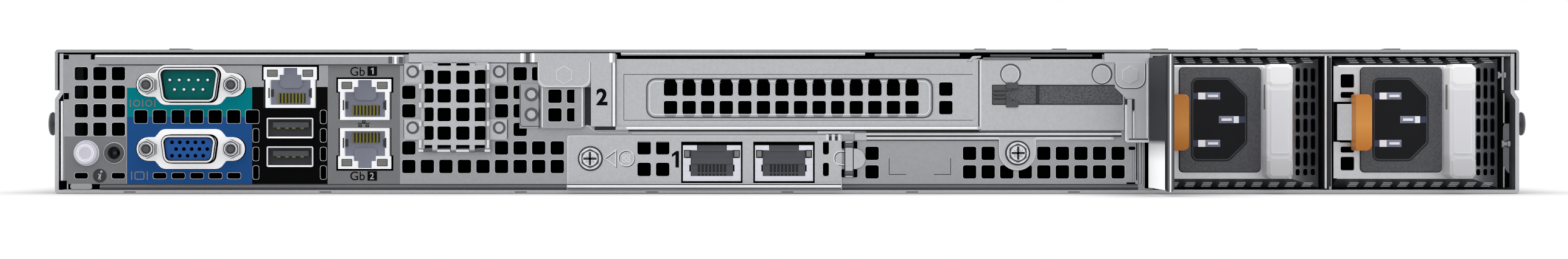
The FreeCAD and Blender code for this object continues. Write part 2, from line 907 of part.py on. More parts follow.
def d_port(name):
    """Port shell: a flange with two rounded ears, and the D-shaped ring that stands out of it."""
    centre_z, width, height = D_PORTS[name]
    shell = Piece(f"{name}_port")
    flange = (rear - d.flange_sheet, rear)
    field_x = around(port_x, d.flange_width)
    field_z = around(centre_z, d.flange_height)
    shell.pad("XZ", flange, rectangle(field_x, field_z))
    shell.round_edges(d.flange_corner, "Y", *rectangle(field_x, field_z))
    ear_x = around(port_x, d.standoff_span)
    shell.pad("XZ", flange, rectangle(ear_x, around(centre_z, d.flange_ear)))
    for x in ear_x:
        shell.pad("XZ", flange, circle(x, centre_z, d.flange_ear / 2))
    ring = (flange[0] - d.ring_reach, flange[0])
    outer = ring_outline(centre_z, width, height, 0 * d.ring_wall)
    shell.pad("XZ", ring, outer)
    inner = ring_outline(centre_z, width, height, d.ring_wall)
    shell.pocket("XZ", (ring[0], rear), inner)
    shell.bevel_edges(d.ring_inner_bevel, "Y", *inner)
    shell.round_edges(d.ring_corner, "Y", *outer)
    return shell.body


def port_insert(name, recess):
    """Coloured block inside a port shell, with a narrower back that goes through the panel."""
    centre_z, width, height = D_PORTS[name]
    insert = Piece(f"{name}_insert_block")
    face = rear - d.flange_sheet - d.ring_reach + recess
    outline = ring_outline(centre_z, width, height, d.ring_wall + d.insert_gap)
    insert.pad("XZ", (face, rear), outline)
    insert.bevel_edges(d.ring_inner_bevel, "Y", *outline)
    back = insert_back(width, height)
    back_loop = rectangle(around(port_x, back[0]), around(centre_z, back[1]))
    insert.pad("XZ", (rear, rear + d.insert_depth), back_loop)
    return insert.body


def serial_insert():
    floor = rear - d.flange_sheet
    span = (floor - d.pin_length, floor)
    pins = []
    for row, count in ((0.5, 5), (-0.5, 4)):
        for step in range(count):
            x = port_x + (step - (count - 1) / 2) * d.pin_pitch
            z = serial_z + row * d.pin_row_gap
            name = f"serial_pin_{count}_{step}"
            pins.append(box(name, around(x, d.pin_width), span, around(z, d.pin_width)))
    return group("serial_insert", [port_insert("serial", d.ring_reach)] + pins)


def video_insert():
    return group("video_insert", [port_insert("video", d.video_recess)])


def port_standoffs():
    standoffs = []
    for name, (centre_z, _, _) in D_PORTS.items():
        for side, x in zip(("left", "right"), around(port_x, d.standoff_span)):
            label = f"{name}_standoff_{side}"
            base = rear - d.flange_sheet
            span = (base - d.standoff_length, base)
            standoffs.append(prism(label, 6, "Y", d.standoff_radius, (x, centre_z), span))
    return group("port_standoffs", standoffs)


def jack_block(name, centre, flip, width, height):
    """Jack with a stepped opening: the plug's width, then two narrower steps for its latch."""
    x, z = centre
    face = rear - d.jack_proud
    sill = -flip * (height / 2 - d.jack_sill)
    levels = [z + sill]
    for rise in (d.jack_opening_height, d.jack_step_height, d.jack_step_height):
        levels.append(levels[-1] + flip * rise)
    widths = (d.jack_opening, d.jack_step_width, d.jack_latch_width)
    block = box(f"{name}_block", around(x, width), (face, face + d.jack_depth), around(z, height))
    steps = []
    for number, opening in enumerate(widths):
        low, high = levels[number:number + 2][::flip]
        span = (face - d.jack_proud, face + d.jack_cavity)
        steps.append(box(f"{name}_step_{number}", around(x, opening), span, (low, high)))
    return cut(name, block, fuse(f"{name}_opening", *steps))


def network_ports():
    size = (d.jack_width, d.jack_height)
    jacks = [jack_block(f"{name}_jack", centre, flip, *size) for name, centre, flip in JACKS]
    return group("network_ports", jacks)


def jack_contacts():
    """Eight spring contacts on the sill of each jack."""
    contacts = []
    for name, (x, z), flip in JACKS:
        sill = z - flip * (d.jack_height / 2 - d.jack_sill)
        height = (sill, sill + d.contact_height) if flip > 0 else (sill - d.contact_height, sill)
        span = after(rear - d.jack_proud + d.contact_recess, d.contact_length)
        for step in range(8):
            middle = x + (step - 3.5) * d.contact_pitch
            label = f"{name}_contact_{step}"
            contacts.append(box(label, around(middle, d.contact_width), span, height))
    return group("jack_contacts", contacts)


def usb_ports():
    shells = []
    for number, (x, z) in enumerate(usb_centres, 1):
        span = after(rear - d.usb_proud, d.usb_depth)
        block = box(f"usb_{number}_block", around(x, d.usb_width), span, around(z, d.usb_height))
        room_x = around(x, d.usb_width - 2 * d.usb_wall)
        room_z = around(z, d.usb_height - 2 * d.usb_wall)
        room = box(f"usb_{number}_room", room_x, (span[0], span[1] - d.usb_wall), room_z)
        shells.append(cut(f"usb_{number}_shell", block, room))
    return group("usb_ports", shells)


def usb_inserts():
    tongues = []
    for number, (x, z) in enumerate(usb_centres, 1):
        high = z + d.usb_height / 2 - d.usb_wall - d.tongue_inset
        width = d.usb_width - 2 * (d.usb_wall + d.tongue_inset)
        start = rear - d.usb_proud
        span = (start + d.tongue_recess, start + d.usb_depth - d.usb_wall)
        tongues.append(box(f"usb_{number}_tongue", around(x, width), span, (high - d.tongue_height, high)))
    return group("usb_inserts", tongues)


def status_jack():
    span = (rear - d.jack_proud, rear + d.status_depth)
    barrel = prism("status_barrel", ROUND_SIDES, "Y", d.status_radius, status, span)
    room = (span[0], span[1] - d.status_depth / 4)
    bore = prism("status_bore_room", ROUND_SIDES, "Y", d.status_bore, status, room)
    return cut("status_jack", barrel, bore)


def id_button():
    return rod("id_button", "Y", d.button_radius, button, (rear - d.button_reach, rear + d.button_depth))


def vent_blank():
    blank = Piece("vent_blank")
    face = rear - d.vent_proud
    blank.pad("XZ", (face, rear), rectangle(vent_x, vent_z))
    for axis, places in (("X", [(face, z) for z in vent_z]), ("Z", [(x, face) for x in vent_x])):
        blank.bevel_edges(d.vent_bend, axis, *places)
    wall = d.plate_sheet
    blank.pocket("XZ", (face + wall, rear), rectangle(inset(vent_x, wall), inset(vent_z, wall)))
    for x, z in vent_tabs:
        blank.pad("XZ", (rear - wall, rear), rectangle(x, z))
    columns = int((d.vent_width.value + d.hole_width.value) // d.hole_pitch.value)
    rows = 1 + int((vent_z[1].value - vent_z[0].value) // d.hole_pitch.value)
    first = (vent_x[0] + d.vent_hole_inset, vent_z[0] + d.seat_gap)
    blank.perforate((face - wall, face + 2 * wall), first, (columns, rows + 1))
    return blank.body


def riveted_bracket():
    """Sheet with one flange on the panel and a raised face beside it."""
    wall = d.plate_sheet
    face_x = (bracket_x[1] + d.bracket_rise, bracket_x[1] + d.bracket_face)
    bracket = Piece("riveted_bracket")
    outline = [
        (bracket_x[0], rear),
        (bracket_x[0], rear - wall),
        (bracket_x[1] - wall, rear - wall),
        (bracket_x[1], rear - wall - d.bracket_rise),
        (face_x[1], rear - wall - d.bracket_rise),
        (face_x[1], rear - d.bracket_rise),
        (bracket_x[1] + wall, rear - d.bracket_rise),
        (bracket_x[1], rear),
    ]
    bracket.pad("XY", bracket_z, outline)
    hole = (face_x[0] + d.hole_width / 2 + d.plate_sheet, bracket_z[0] + d.hole_width)
    bracket.perforate((rear - 2 * d.bracket_rise, rear), hole, (2, 2))
    return bracket.body


def riser_cage():
    """Strap along the top edge that steps outward, with a lifting tab and the slot's side plate."""
    wall = d.plate_sheet
    strap_x = after(from_left(d.strap_from_left), d.strap_flat)
    bend_end = strap_x[1] + d.strap_bend
    proud = rear - wall - d.strap_step
    cage = Piece("riser_cage")
    outline = [
        (strap_x[0], rear),
        (strap_x[0], rear - wall),
        (strap_x[1], rear - wall),
        (bend_end, proud),
        (plate_x[1], proud),
        (plate_x[1], proud + wall),
        (bend_end + wall / 2, proud + wall),
        (strap_x[1] + wall / 2, rear),
    ]
    cage.pad("XY", (strap_z[0], wall_top), outline)
    tab_x = after(from_left(d.cage_tab_from_left), d.cage_tab_width)
    tab_low = top - d.cage_tab_drop
    raised = (proud, proud + wall)
    cage.pad("XZ", raised, rectangle(tab_x, (tab_low, strap_z[0])))
    cage.round_edges(d.cage_tab_corner, "Y", (tab_x[0], tab_low), (tab_x[1], tab_low))
    cage.pad("XZ", raised, rectangle(plate_x, (d.plate_low, strap_z[0])))
    cage.pad("XZ", (proud + wall, rear), rectangle(after(plate_x[0], wall), (d.plate_low, strap_z[0])))
    mark_z = (tab_low + strap_z[0]) / 2
    cage.pad("XZ", (proud - d.emboss, proud), hexagon((tab_x[0] + tab_x[1]) / 2, mark_z, d.hexagon_radius))
    return cage.body


def slot_blank():
    """Slot cover: perforated field inside a pressed pan, and a rolled flange along the bottom."""
    blank = Piece("slot_blank")
    face = rear - d.panel_sheet
    blank.pad("XZ", skin, rectangle(blank_x, blank_z))
    pan_left = blank_x[0] + d.pan_margin_x
    pan_right = blank_x[1] - d.pan_end
    pan_low = blank_z[0] + d.pan_margin_low
    pan_high = blank_z[1] - d.pan_margin_top
    loop = rectangle((pan_left, pan_right), (pan_low, pan_high))
    blank.pocket("XZ", (face, face + d.pan_relief), loop)
    blank.round_edges(d.pan_corner, "Y", *loop)
    blank.pad("XZ", (face - d.blank_flange, face), rectangle(blank_x, after(blank_z[0], d.panel_sheet)))
    columns = round((pan_right - pan_left - 2 * d.blank_hole_inset).value / d.hole_pitch.value) + 1
    blank.perforate(through, (pan_left + d.blank_hole_inset, d.blank_hole_z), (columns, 2))
    blank.perforate(through, (blank_x[1] - 2 * d.hole_pitch + d.panel_sheet, d.blank_hole_z), (1, 2))
    return blank.body


window_x = (riser_x[0] + d.window_inset, riser_x[1] - d.window_end)
window_z = after(d.window_low, d.window_height)


def riser_blank():
    blank = Piece("riser_blank")
    blank.pad("XZ", skin, rectangle(riser_x, (d.blank_low - d.blank_gap, blank_z[1])))
    blank.pocket("XZ", through, rectangle(window_x, window_z))
    return blank.body


def retainer_strip():
    """Moulded strip that lies in the window, with a clip whose lugs hook over the window's edges."""
    strip = Piece("retainer_strip")
    inside_x = inset(window_x, d.seat_gap)
    inside_z = inset(window_z, d.seat_gap)
    face = rear - d.panel_sheet
    strip.pad("XZ", (face, rear), rectangle(inside_x, inside_z))
    clip_x = after(inside_x[0], d.clip_width)
    strip.pad("XZ", (face - d.panel_sheet, face), rectangle(clip_x, inside_z))
    lug_x = (clip_x[0] + d.clip_width / 2, clip_x[1])
    lug_z = (inside_z[0] - d.clip_rise, inside_z[1] + d.clip_rise)
    strip.pad("XZ", (face - d.panel_sheet, face), rectangle(lug_x, lug_z))
    return strip.body


bracket_plate_x = (guard_x - d.seat_gap - d.bracket_plate_width, guard_x - d.seat_gap)
upright_x = (riser_x[1] + d.blank_gap, bracket_plate_x[1])


def riser_bracket():
    """Bracket beside the power supplies: strap, embossed tab, slant-edged upright and a U-shaped hook."""
    wall = d.plate_sheet
    bracket = Piece("riser_bracket")
    right = upright_x[1]
    strap_left = right - d.bracket_strap_width
    proud = skin[0] - wall
    hook_x = (right - d.hook_width, right)
    inner_x = hook_x[0] + d.hook_sheet
    plate_left = bracket_plate_x[0]
    tab_x = (plate_left + d.emboss, right - 2 * wall)
    tab_low = top - d.cage_tab_drop
    bracket.pad("XZ", (skin[0], rear), rectangle(upright_x, (d.bracket_plate_low, wall_top)))
    plate = [
        (strap_left, wall_top),
        (strap_left, strap_z[0]),
        (plate_left, strap_z[0]),
        (plate_left, tab_low),
        (hook_x[0], d.hook_high),
        (inner_x, d.hook_high),
        (inner_x, d.bracket_plate_low),
        (right, d.bracket_plate_low),
        (right, wall_top),
    ]
    bracket.pad("XZ", (proud, skin[0]), plate)
    bracket.pad("XZ", (proud - d.emboss, proud), rectangle(tab_x, (tab_low, strap_z[0])))
    bracket.round_edges(d.bracket_tab_corner, "Y", (tab_x[0], tab_low), (tab_x[1], tab_low))
    mark = hexagon((tab_x[0] + tab_x[1]) / 2, (tab_low + strap_z[0]) / 2, d.hexagon_radius)
    bracket.pad("XZ", (proud - 2 * d.emboss, proud - d.emboss), mark)
    hook_low = d.bracket_plate_low - d.hook_sheet
    hook = [
        (hook_x[0], d.hook_high),
        (hook_x[0], hook_low),
        (hook_x[1], hook_low),
        (hook_x[1], d.bracket_plate_low),
        (inner_x, d.bracket_plate_low),
        (inner_x, d.hook_high),
    ]
    bracket.pad("XZ", (skin[0] - d.hook_sheet, skin[0]), hook)
    return bracket.body


def riser_rail():
    """Flange under the risers, with the rounded tab that takes a captive screw."""
    wall = d.plate_sheet
    rail = Piece("riser_rail")
    rail_x = (bracket_plate_x[0] - d.rail_length, bracket_plate_x[0])
    rail_z = after(d.rail_low, d.rail_height)
    rail.pad("XZ", (rear - wall, rear), rectangle(rail_x, rail_z))
    tab_radius = d.rail_tab_width / 2
    rail.pad("XZ", (rear - wall, rear), rectangle(rail_tab_x, (rail_screw[1], rail_z[0])))
    rail.pad("XZ", (rear - wall, rear), circle(*rail_screw, tab_radius))
    return rail.body


def captive_screws():
    """Screws with a round washer face under a hexagon head."""
    screws = []
    seats = (("rail", rail_screw, rear - d.plate_sheet), ("card", card_screw, skin[0]))
    for name, centre, seat in seats:
        washer = rod(f"{name}_washer", "Y", d.screw_radius, centre, (seat - d.screw_washer, seat))
        head_span = (seat - d.screw_height, seat - d.screw_washer)
        head = prism(f"{name}_head", 6, "Y", d.screw_radius * 0.9, centre, head_span)
        screws.append(fuse(f"{name}_screw", washer, head))
    return group("captive_screws", screws)


def network_bracket():
    """Faceplate of the network card, with two jack openings and a rolled lower flange."""
    plate = Piece("network_bracket")
    plate.pad("XZ", skin, rectangle(card_x, card_z))
    flange_z = (card_z[0] - d.card_flange, card_z[0] + d.seat_gap)
    plate.pad("XZ", (skin[0] - d.panel_sheet, rear), rectangle(card_x, flange_z))
    for x in card_jacks:
        opening = around(x, d.card_opening_width), around(d.card_jack_z, d.card_opening_height)
        plate.pocket("XZ", through, rectangle(*opening))
    pitches = (d.hole_pitch, d.card_hole_pitch)
    plate.perforate(through, (card_x[0] + d.card_hole_x, d.card_hole_z), (2, 2), pitches=pitches)
    slot = (card_x[0] + d.card_slot_x, d.card_hole_z)
    plate.perforate(through, slot, (1, 2), width=d.slot_height, pitches=pitches)
    return plate.body


def network_jacks():
    jacks = []
    for number, x in enumerate(card_jacks, 1):
        name = f"card_jack_{number}"
        centre = (x, d.card_jack_z)
        jacks.append(jack_block(name, centre, 1, d.card_jack_width, d.card_jack_height))
    return group("network_jacks", jacks)


def card_clip():
    """Spring clip at the card's end: a strap on the panel with a raised rounded finger."""
    wall = d.plate_sheet
    clip = Piece("card_clip")
    clip_x = after(card_x[1] + d.clip_from_card, d.clip_length)
    clip_z = after(d.clip_low, d.clip_height)
    clip.pad("XZ", (rear - wall, rear), rectangle(after(clip_x[0], d.clip_length / 4), clip_z))
    finger_z = inset(clip_z, d.clip_height / 5)
    finger_x = (clip_x[0], clip_x[0] + d.clip_length / 2)
    clip.pad("XZ", (rear - 2 * wall, rear - wall), rectangle(finger_x, finger_z))
    radius = (finger_z[1] - finger_z[0]) / 4
    clip.round_edges(radius, "Y", (finger_x[1], finger_z[0]), (finger_x[1], finger_z[1]))
    return clip.body


# Power supplies
psu_low = d.sheet + d.slide_gap
cage_under = wall_top - d.plate_sheet
psu_high = cage_under - d.slide_gap
psu_lefts = [guard[1] + d.side_gap + step * d.psu_pitch for step in range(2)]
divider_x = after(psu_lefts[0] + d.psu_width + d.divider_from_psu, d.plate_sheet)


def psu_cage():
    """Guard wall with a rolled edge, divider and top sheet, folded over the two supplies."""
    cage = Piece("psu_cage")
    inside = (rear, rear + d.cage_depth)
    walls = [
        (guard[0], d.sheet),
        (guard[1], d.sheet),
        (guard[1], cage_under),
        (divider_x[0], cage_under),
        (divider_x[0], d.sheet),
        (divider_x[1], d.sheet),
        (divider_x[1], cage_under),
        (wall_inner, cage_under),
        (wall_inner, wall_top),
        (guard[0], wall_top),
    ]
    cage.pad("XZ", inside, walls)
    edge_y = rear - d.rear_reach + d.guard_roll
    guard_z = (d.guard_low, d.guard_high)
    cage.pad("XZ", (edge_y, rear), rectangle(guard, guard_z))
    cage.pad("XY", guard_z, circle((guard[0] + guard[1]) / 2, edge_y, d.guard_roll))
    return cage.body


def psu_case(number, left):
    """Case whose rear end tapers in on three sides, with a grille cut through the slope beside the face."""
    case = Piece(f"psu_{number}_case")
    sides = (left, left + d.psu_width)
    heights = (psu_low, psu_high)
    face = rectangle(after(left, d.psu_face_width), (d.psu_face_low, d.psu_face_high))
    nose_end = rear + d.psu_nose
    case.loft("Additive", "XZ", (rear, face), (nose_end, rectangle(sides, heights)))
    case.pad("XZ", (nose_end, rear + d.psu_depth), rectangle(sides, heights))
    wall = d.psu_wall
    inner_face = rectangle(
        (left + wall, left + d.psu_face_width - wall / 2),
        (d.psu_face_low + wall / 2, d.psu_face_high - wall / 2),
    )
    inner = rectangle(inset(sides, wall), inset(heights, wall))
    case.loft("Subtractive", "XZ", (rear + wall, inner_face), (nose_end + wall, inner))
    case.pocket("XZ", (nose_end + wall, rear + d.psu_cavity), inner)
    margin = d.inlet_rim - d.seat_gap / 2
    inlet_x = inset(after(left + d.inlet_x, d.inlet_width), margin)
    inlet_z = inset(after(d.inlet_low, d.inlet_height), margin)
    front_cut = (rear - wall, rear + 2 * wall)
    case.pocket("XZ", front_cut, rectangle(inlet_x, inlet_z))
    hole_x = around(left + d.face_hole_x, d.hole_width)
    middle = (d.psu_face_low + d.psu_face_high) / 2
    low_holes = [around(d.face_hole_z, d.hole_width), around(d.face_slot_z, d.slot_height)]
    high_holes = [(2 * middle - high, 2 * middle - low) for low, high in low_holes]
    slot_x = (left + d.psu_wall, left + d.inlet_x - d.insert_gap)
    slot_z = (d.leaf_low - d.slide_gap, d.leaf_high + d.slide_gap)
    loops = [rectangle(hole_x, z) for z in low_holes + high_holes]
    case.pocket("XZ", front_cut, *loops, rectangle(slot_x, slot_z))
    slope_cut = (rear - wall, nose_end + wall)
    case.perforate(
        slope_cut,
        (left + d.grille_first_x, d.grille_first_z),
        (3, 6),
        d.grille_hole_width,
        d.grille_hole_height,
        (d.grille_pitch_x, d.grille_pitch_z),
    )
    return case.body


def psu_inlet(number, left):
    """Dark inlet: bezel on the face, moulded body behind it and three blades in a cut-cornered socket."""
    inlet = Piece(f"psu_{number}_inlet_body")
    bezel_x = after(left + d.inlet_x, d.inlet_width)
    bezel_z = after(d.inlet_low, d.inlet_height)
    face = rear - d.inlet_proud
    rim = d.inlet_rim
    inlet.pad("XZ", (face, rear), rectangle(bezel_x, bezel_z))
    inlet.bevel_edges(d.inlet_bevel, "Y", *rectangle(bezel_x, bezel_z))
    inlet.pad("XZ", (rear, rear + d.inlet_depth), rectangle(inset(bezel_x, rim), inset(bezel_z, rim)))
    socket_x = after(bezel_x[0] + d.socket_inset, d.socket_width)
    socket_z = after(bezel_z[0] + d.socket_rise, d.socket_height)
    slant = d.socket_chamfer
    socket = [
        (socket_x[0], socket_z[0]),
        (socket_x[1] - slant, socket_z[0]),
        (socket_x[1], socket_z[0] + slant),
        (socket_x[1], socket_z[1] - slant),
        (socket_x[1] - slant, socket_z[1]),
        (socket_x[0], socket_z[1]),
    ]
    floor = face + d.socket_depth
    inlet.pocket("XZ", (face, floor), socket)
    middle = (socket_z[0] + socket_z[1]) / 2
    blade_x = bezel_x[0] + d.blade_x
    places = [(blade_x, middle - d.blade_span / 2), (blade_x, middle + d.blade_span / 2)]
    places.append((blade_x + d.earth_step, middle))
    blades = [
        box(
            f"psu_{number}_blade_{step}",
            around(x, d.blade_width),
            (floor - d.blade_length, floor),
            around(z, d.blade_height),
        )
        for step, (x, z) in enumerate(places)
    ]
    return group(f"psu_{number}_inlet", [inlet.body] + blades)


def psu_handle(number, left):
    """Pull handle: two end blocks, a sunk grip between them and room for fingers behind it."""
    low, high = d.handle_low, d.handle_high
    reach = rear - d.handle_reach
    grip = reach + d.grip_relief
    outline = [
        (rear, low),
        (rear - d.handle_shoulder, low),
        (reach, low + d.handle_taper),
        (reach, d.grip_low - d.grip_relief),
        (grip, d.grip_low),
        (grip, d.grip_high),
        (reach, d.grip_high + d.grip_relief),
        (reach, high - d.handle_taper),
        (rear - d.handle_shoulder, high),
        (rear, high),
        (rear, d.grip_high),
        (rear - d.finger_depth, d.grip_high - d.grip_relief),
        (rear - d.finger_depth, d.grip_low + d.grip_relief),
        (rear, d.grip_low),
    ]
    handle = Piece(f"psu_{number}_handle")
    handle.pad("YZ", after(left + d.handle_x, d.handle_width), outline)
    return handle.body


def leaf_root(left):
    """Axis about which a release bends, inside the case beside its left wall."""
    return left + d.leaf_root_x, rear + d.leaf_depth


def psu_latch(number, left):
    """Release: a moulded thumb piece on a leaf that slants in through the face."""
    tab_x = after(left + d.release_x, d.release_width)
    tab_z = (d.release_low, d.release_high)
    tab_y = (rear - d.release_reach, rear - d.release_lift)
    tab = Piece(f"psu_{number}_release")
    tab.pad("XZ", tab_y, rectangle(tab_x, tab_z))
    tab.bevel_edges(d.release_corner, "Y", *rectangle(tab_x, tab_z))
    root_x, root_y = leaf_root(left)
    leaf = Piece(f"psu_{number}_leaf")
    end_x = tab_x[0] + d.leaf_sheet / 4
    outline = [
        (root_x, root_y),
        (end_x, tab_y[1]),
        (end_x + d.leaf_sheet, tab_y[1]),
        (root_x + d.leaf_sheet, root_y),
    ]
    leaf.pad("XY", (d.leaf_low, d.leaf_high), outline)
    return group(f"psu_{number}_latch", [tab.body, leaf.body])


# Inside the chassis
fan_rear = rear + d.fan_from_rear
fan_low = d.sheet
fan_z = fan_low + d.fan_width / 2 - d.seat_gap
fan_centres = [(step - (FAN_COUNT - 1) / 2) * d.fan_pitch for step in range(FAN_COUNT)]


def system_board():
    board = Piece("system_board")
    area = rectangle(after(board_left, d.board_width), after(board_rear, d.board_length))
    board.pad("XY", (board_under, board_top), area)
    return board.body


def heat_sinks():
    sinks = []
    for number in range(SINK_COUNT):
        left = board_left + d.sink_first + number * d.sink_pitch
        sink = Piece(f"heat_sink_{number + 1}")
        span_y = after(rear + d.sink_from_rear, d.sink_length)
        high = board_top + d.sink_height
        sink.pad("XZ", span_y, rectangle(after(left, d.sink_width), (board_top, high)))
        fin = d.sink_fin_pitch - d.sink_slot
        groove = rectangle(after(left + fin, d.sink_slot), (board_top + d.sink_base, high + fin))
        slot = sink.pocket("XZ", span_y, groove)
        sink.repeat(slot, "X", d.sink_fin_pitch, int(d.sink_width.value // d.sink_fin_pitch.value))
        sinks.append(sink.body)
    return group("heat_sinks", sinks)


def memory_modules():
    modules = []
    for step in range(MODULE_COUNT):
        x = after(from_left(d.modules_from_left), d.module_width)
        y = after(rear + d.modules_from_rear + step * d.module_pitch, d.module_sheet)
        modules.append(box(f"memory_module_{step + 1}", x, y, after(board_top, d.module_height)))
    return group("memory_modules", modules)


def fan_housings():
    """Square frames with a round bore; two struts at the front end carry the motor behind each rotor."""
    frames = []
    for number, x in enumerate(fan_centres, 1):
        name = f"fan_{number}"
        high = fan_z + d.fan_width / 2 - d.seat_gap
        y = after(fan_rear, d.fan_length)
        block = box(f"{name}_block", around(x, d.fan_width), y, (fan_low, high))
        bore = prism(f"{name}_bore", ROUND_SIDES, "Y", d.fan_bore, (x, fan_z), y)
        struts_y = (y[1] - d.fan_strut, y[1])
        wide = box(f"{name}_struts", around(x, 2 * d.fan_bore), struts_y, around(fan_z, d.fan_strut))
        motor = prism(f"{name}_motor", BLADE_COUNT * 2, "Y", d.fan_hub, (x, fan_z), struts_y)
        frames.append(fuse(f"{name}_frame", cut(f"{name}_shell", block, bore), wide, motor))
    return group("fan_housings", frames)


def fan_rotor(number, x):
    """Hub with flat blades set at an angle round it."""
    name = f"fan_rotor_{number}"
    end = fan_rear + d.fan_length - d.fan_strut - d.seat_gap
    span = (end - d.fan_hub_length, end)
    hub = prism(f"{name}_hub", BLADE_COUNT * 2, "Y", d.fan_hub, (x, fan_z), span)
    centre = (x, (span[0] + span[1]) / 2, fan_z)
    blades = []
    for step in range(BLADE_COUNT):
        blade = doc.addObject("Part::Box", f"{name}_blade_{step}")
        bind(blade, "Length", d.fan_blade_sheet)
        bind(blade, "Width", d.fan_blade_chord)
        bind(blade, "Height", d.fan_blade_tip)
        tilt = FreeCAD.Rotation(FreeCAD.Vector(0, 0, 1), BLADE_TILT)
        spin = FreeCAD.Rotation(FreeCAD.Vector(0, 1, 0), step * 360 / BLADE_COUNT)
        turn = spin.multiply(tilt)
        blade.Placement = FreeCAD.Placement(FreeCAD.Vector(), turn)
        aside = turn.multVec(FreeCAD.Vector(-0.5, 0, 0))
        back = turn.multVec(FreeCAD.Vector(0, -0.5, 0))
        parts = zip(centre, aside, back)
        place(blade, [c + d.fan_blade_sheet * a + d.fan_blade_chord * b for c, a, b in parts])
        blades.append(blade)
    return fuse(name, hub, *blades)


# Front
bay_centres = [(step - (DRIVE_COUNT - 1) / 2) * d.bay_pitch for step in range(DRIVE_COUNT)]
carrier_z = after(d.sheet + d.slide_gap, d.carrier_height)
drive_z = after(d.sheet + d.slide_gap, d.drive_height)
carrier_y = after(front + d.seat_gap, d.carrier_front)
lever_y = after(carrier_y[1] + d.seat_gap, d.lever_sheet)
backplane_y = after(front - d.drive_length - d.backplane_gap, d.backplane_sheet)


def drive_cage():
    """Fixed front part of the top sheet, with dividers between the drive bays."""
    cage = Piece("drive_cage")
    cage.pad("XZ", (cage_rear, front), cover_outline())
    cage.round_edges(d.cover_corner, "Y", (half, top), (-half, top))
    first = bay_centres[0] + d.bay_pitch / 2
    bays = (backplane_y[1] + d.seat_gap, front)
    divider = cage.pad("XZ", bays, rectangle(around(first, d.plate_sheet), (d.sheet, cover_under)))
    cage.repeat(divider, "X", d.bay_pitch, DRIVE_COUNT - 1)
    return cage.body


def front_panel():
    panel = Piece("front_panel")
    strip_z = (d.front_strip_low, cover_under)
    panel_x = (-wall_inner, wall_inner)
    span = after(front, d.panel_sheet)
    panel.pad("XZ", span, rectangle(panel_x, strip_z))
    count = int((2 * wall_inner).value // d.front_hole_pitch.value) - 1
    first = -d.front_hole_pitch * (count - 1) / 2
    middle = (strip_z[0] + strip_z[1]) / 2
    hole = rectangle(around(first, d.front_hole_width), around(middle, d.front_hole_height))
    slot = panel.pocket("XZ", (span[0] - d.panel_sheet, span[1] + d.panel_sheet), hole)
    panel.repeat(slot, "X", d.front_hole_pitch, count)
    return panel.body


def drive_carrier(number, x):
    """Carrier front with a slotted field, and the drive behind it."""
    carrier = Piece(f"drive_{number}")
    carrier.pad("XZ", carrier_y, rectangle(around(x, d.carrier_width), carrier_z))
    room_y = (carrier_y[0] + d.carrier_rim, carrier_y[1])
    carrier.pad("XZ", (front - d.drive_length, carrier_y[0]), rectangle(around(x, d.drive_width), drive_z))
    wide = int((d.carrier_width - 2 * d.carrier_slot_pitch).value // d.carrier_slot_pitch.value)
    first_x = x - d.carrier_slot_pitch * (wide - 1) / 2
    first_z = carrier_z[0] + d.carrier_slot_row
    loop = rectangle(around(first_x, d.carrier_slot_width), around(first_z, d.carrier_slot_height))
    slot = carrier.pocket("XZ", room_y, loop)
    carrier.repeat(slot, "X", d.carrier_slot_pitch, wide)
    return carrier.body


def lever_pin(x):
    """Hinge axis of a carrier's lever, near the right end of the carrier."""
    return x + d.carrier_width / 2 - d.lever_inset, (lever_y[0] + lever_y[1]) / 2


def drive_lever(number, x):
    pin_x, pin_y = lever_pin(x)
    low = carrier_z[1] - d.lever_inset / 2 - d.lever_height
    span = after(low, d.lever_height)
    lever = Piece(f"drive_lever_{number}")
    lever.pad("XY", span, rectangle((pin_x - d.lever_length, pin_x), lever_y))
    lever.pad("XY", span, circle(pin_x, pin_y, d.lever_sheet / 2))
    grip = after(pin_x - d.lever_length + d.lever_sheet, 4 * d.lever_sheet)
    sunk = rectangle(grip, after(lever_y[0] + d.lever_sheet / 2, d.lever_sheet))
    lever.pocket("XY", (span[0] + d.lever_sheet / 2, span[1] - d.lever_sheet / 2), sunk)
    return lever.body


def drive_backplane():
    plate = Piece("drive_backplane")
    plate.pad("XZ", backplane_y, rectangle((-wall_inner, wall_inner), (d.sheet, d.front_strip_low)))
    return plate.body


ear_z = (d.ear_low, top - d.ear_low)
ear_block_z = (ear_z[0] + d.ear_block_margin, ear_z[1] - d.ear_block_margin)
ear_block_x = after(half + d.seat_gap, d.ear_block_width)
power = (ear_block_x[0] + d.ear_block_width / 2, d.power_z)
ear_front = front + d.front_reach


def rack_ear(name, side):
    """Angle bracket with a rack hole, and a control block beside the hole."""
    ear = Piece(name)
    outer = d.rack_width / 2
    flange = rectangle(mirror_span((half, outer), side), ear_z)
    ear.pad("XZ", after(front, d.ear_sheet), flange)
    block_x = mirror_span(ear_block_x, side)
    ear.pad("XZ", (front + d.ear_sheet, ear_front), rectangle(block_x, ear_block_z))
    leg_x = mirror_span((half, half + d.sheet), side)
    ear.pad("XZ", (front - d.ear_leg, front), rectangle(leg_x, ear_block_z))
    hole = circle(side * d.rack_hole_span / 2, (ear_z[0] + ear_z[1]) / 2, d.ear_hole_radius)
    ear.pocket("XZ", (front - d.ear_sheet, front + 2 * d.ear_sheet), hole)
    if side > 0:
        bore = polygon(*power, d.power_radius + d.seat_gap, ROUND_SIDES)
        ear.pocket("XZ", (ear_front - d.power_depth, ear_front + d.ear_sheet), bore)
    return ear.body


def mirror_span(span, side):
    return span if side > 0 else (-span[1], -span[0])


def rack_ears():
    return group("rack_ears", [rack_ear("rack_ear_left", -1), rack_ear("rack_ear_right", 1)])


def power_button():
    span = (ear_front - d.power_depth + d.button_travel + d.seat_gap, ear_front - d.power_reach)
    return prism("power_button", ROUND_SIDES, "Y", d.power_radius, power, span)


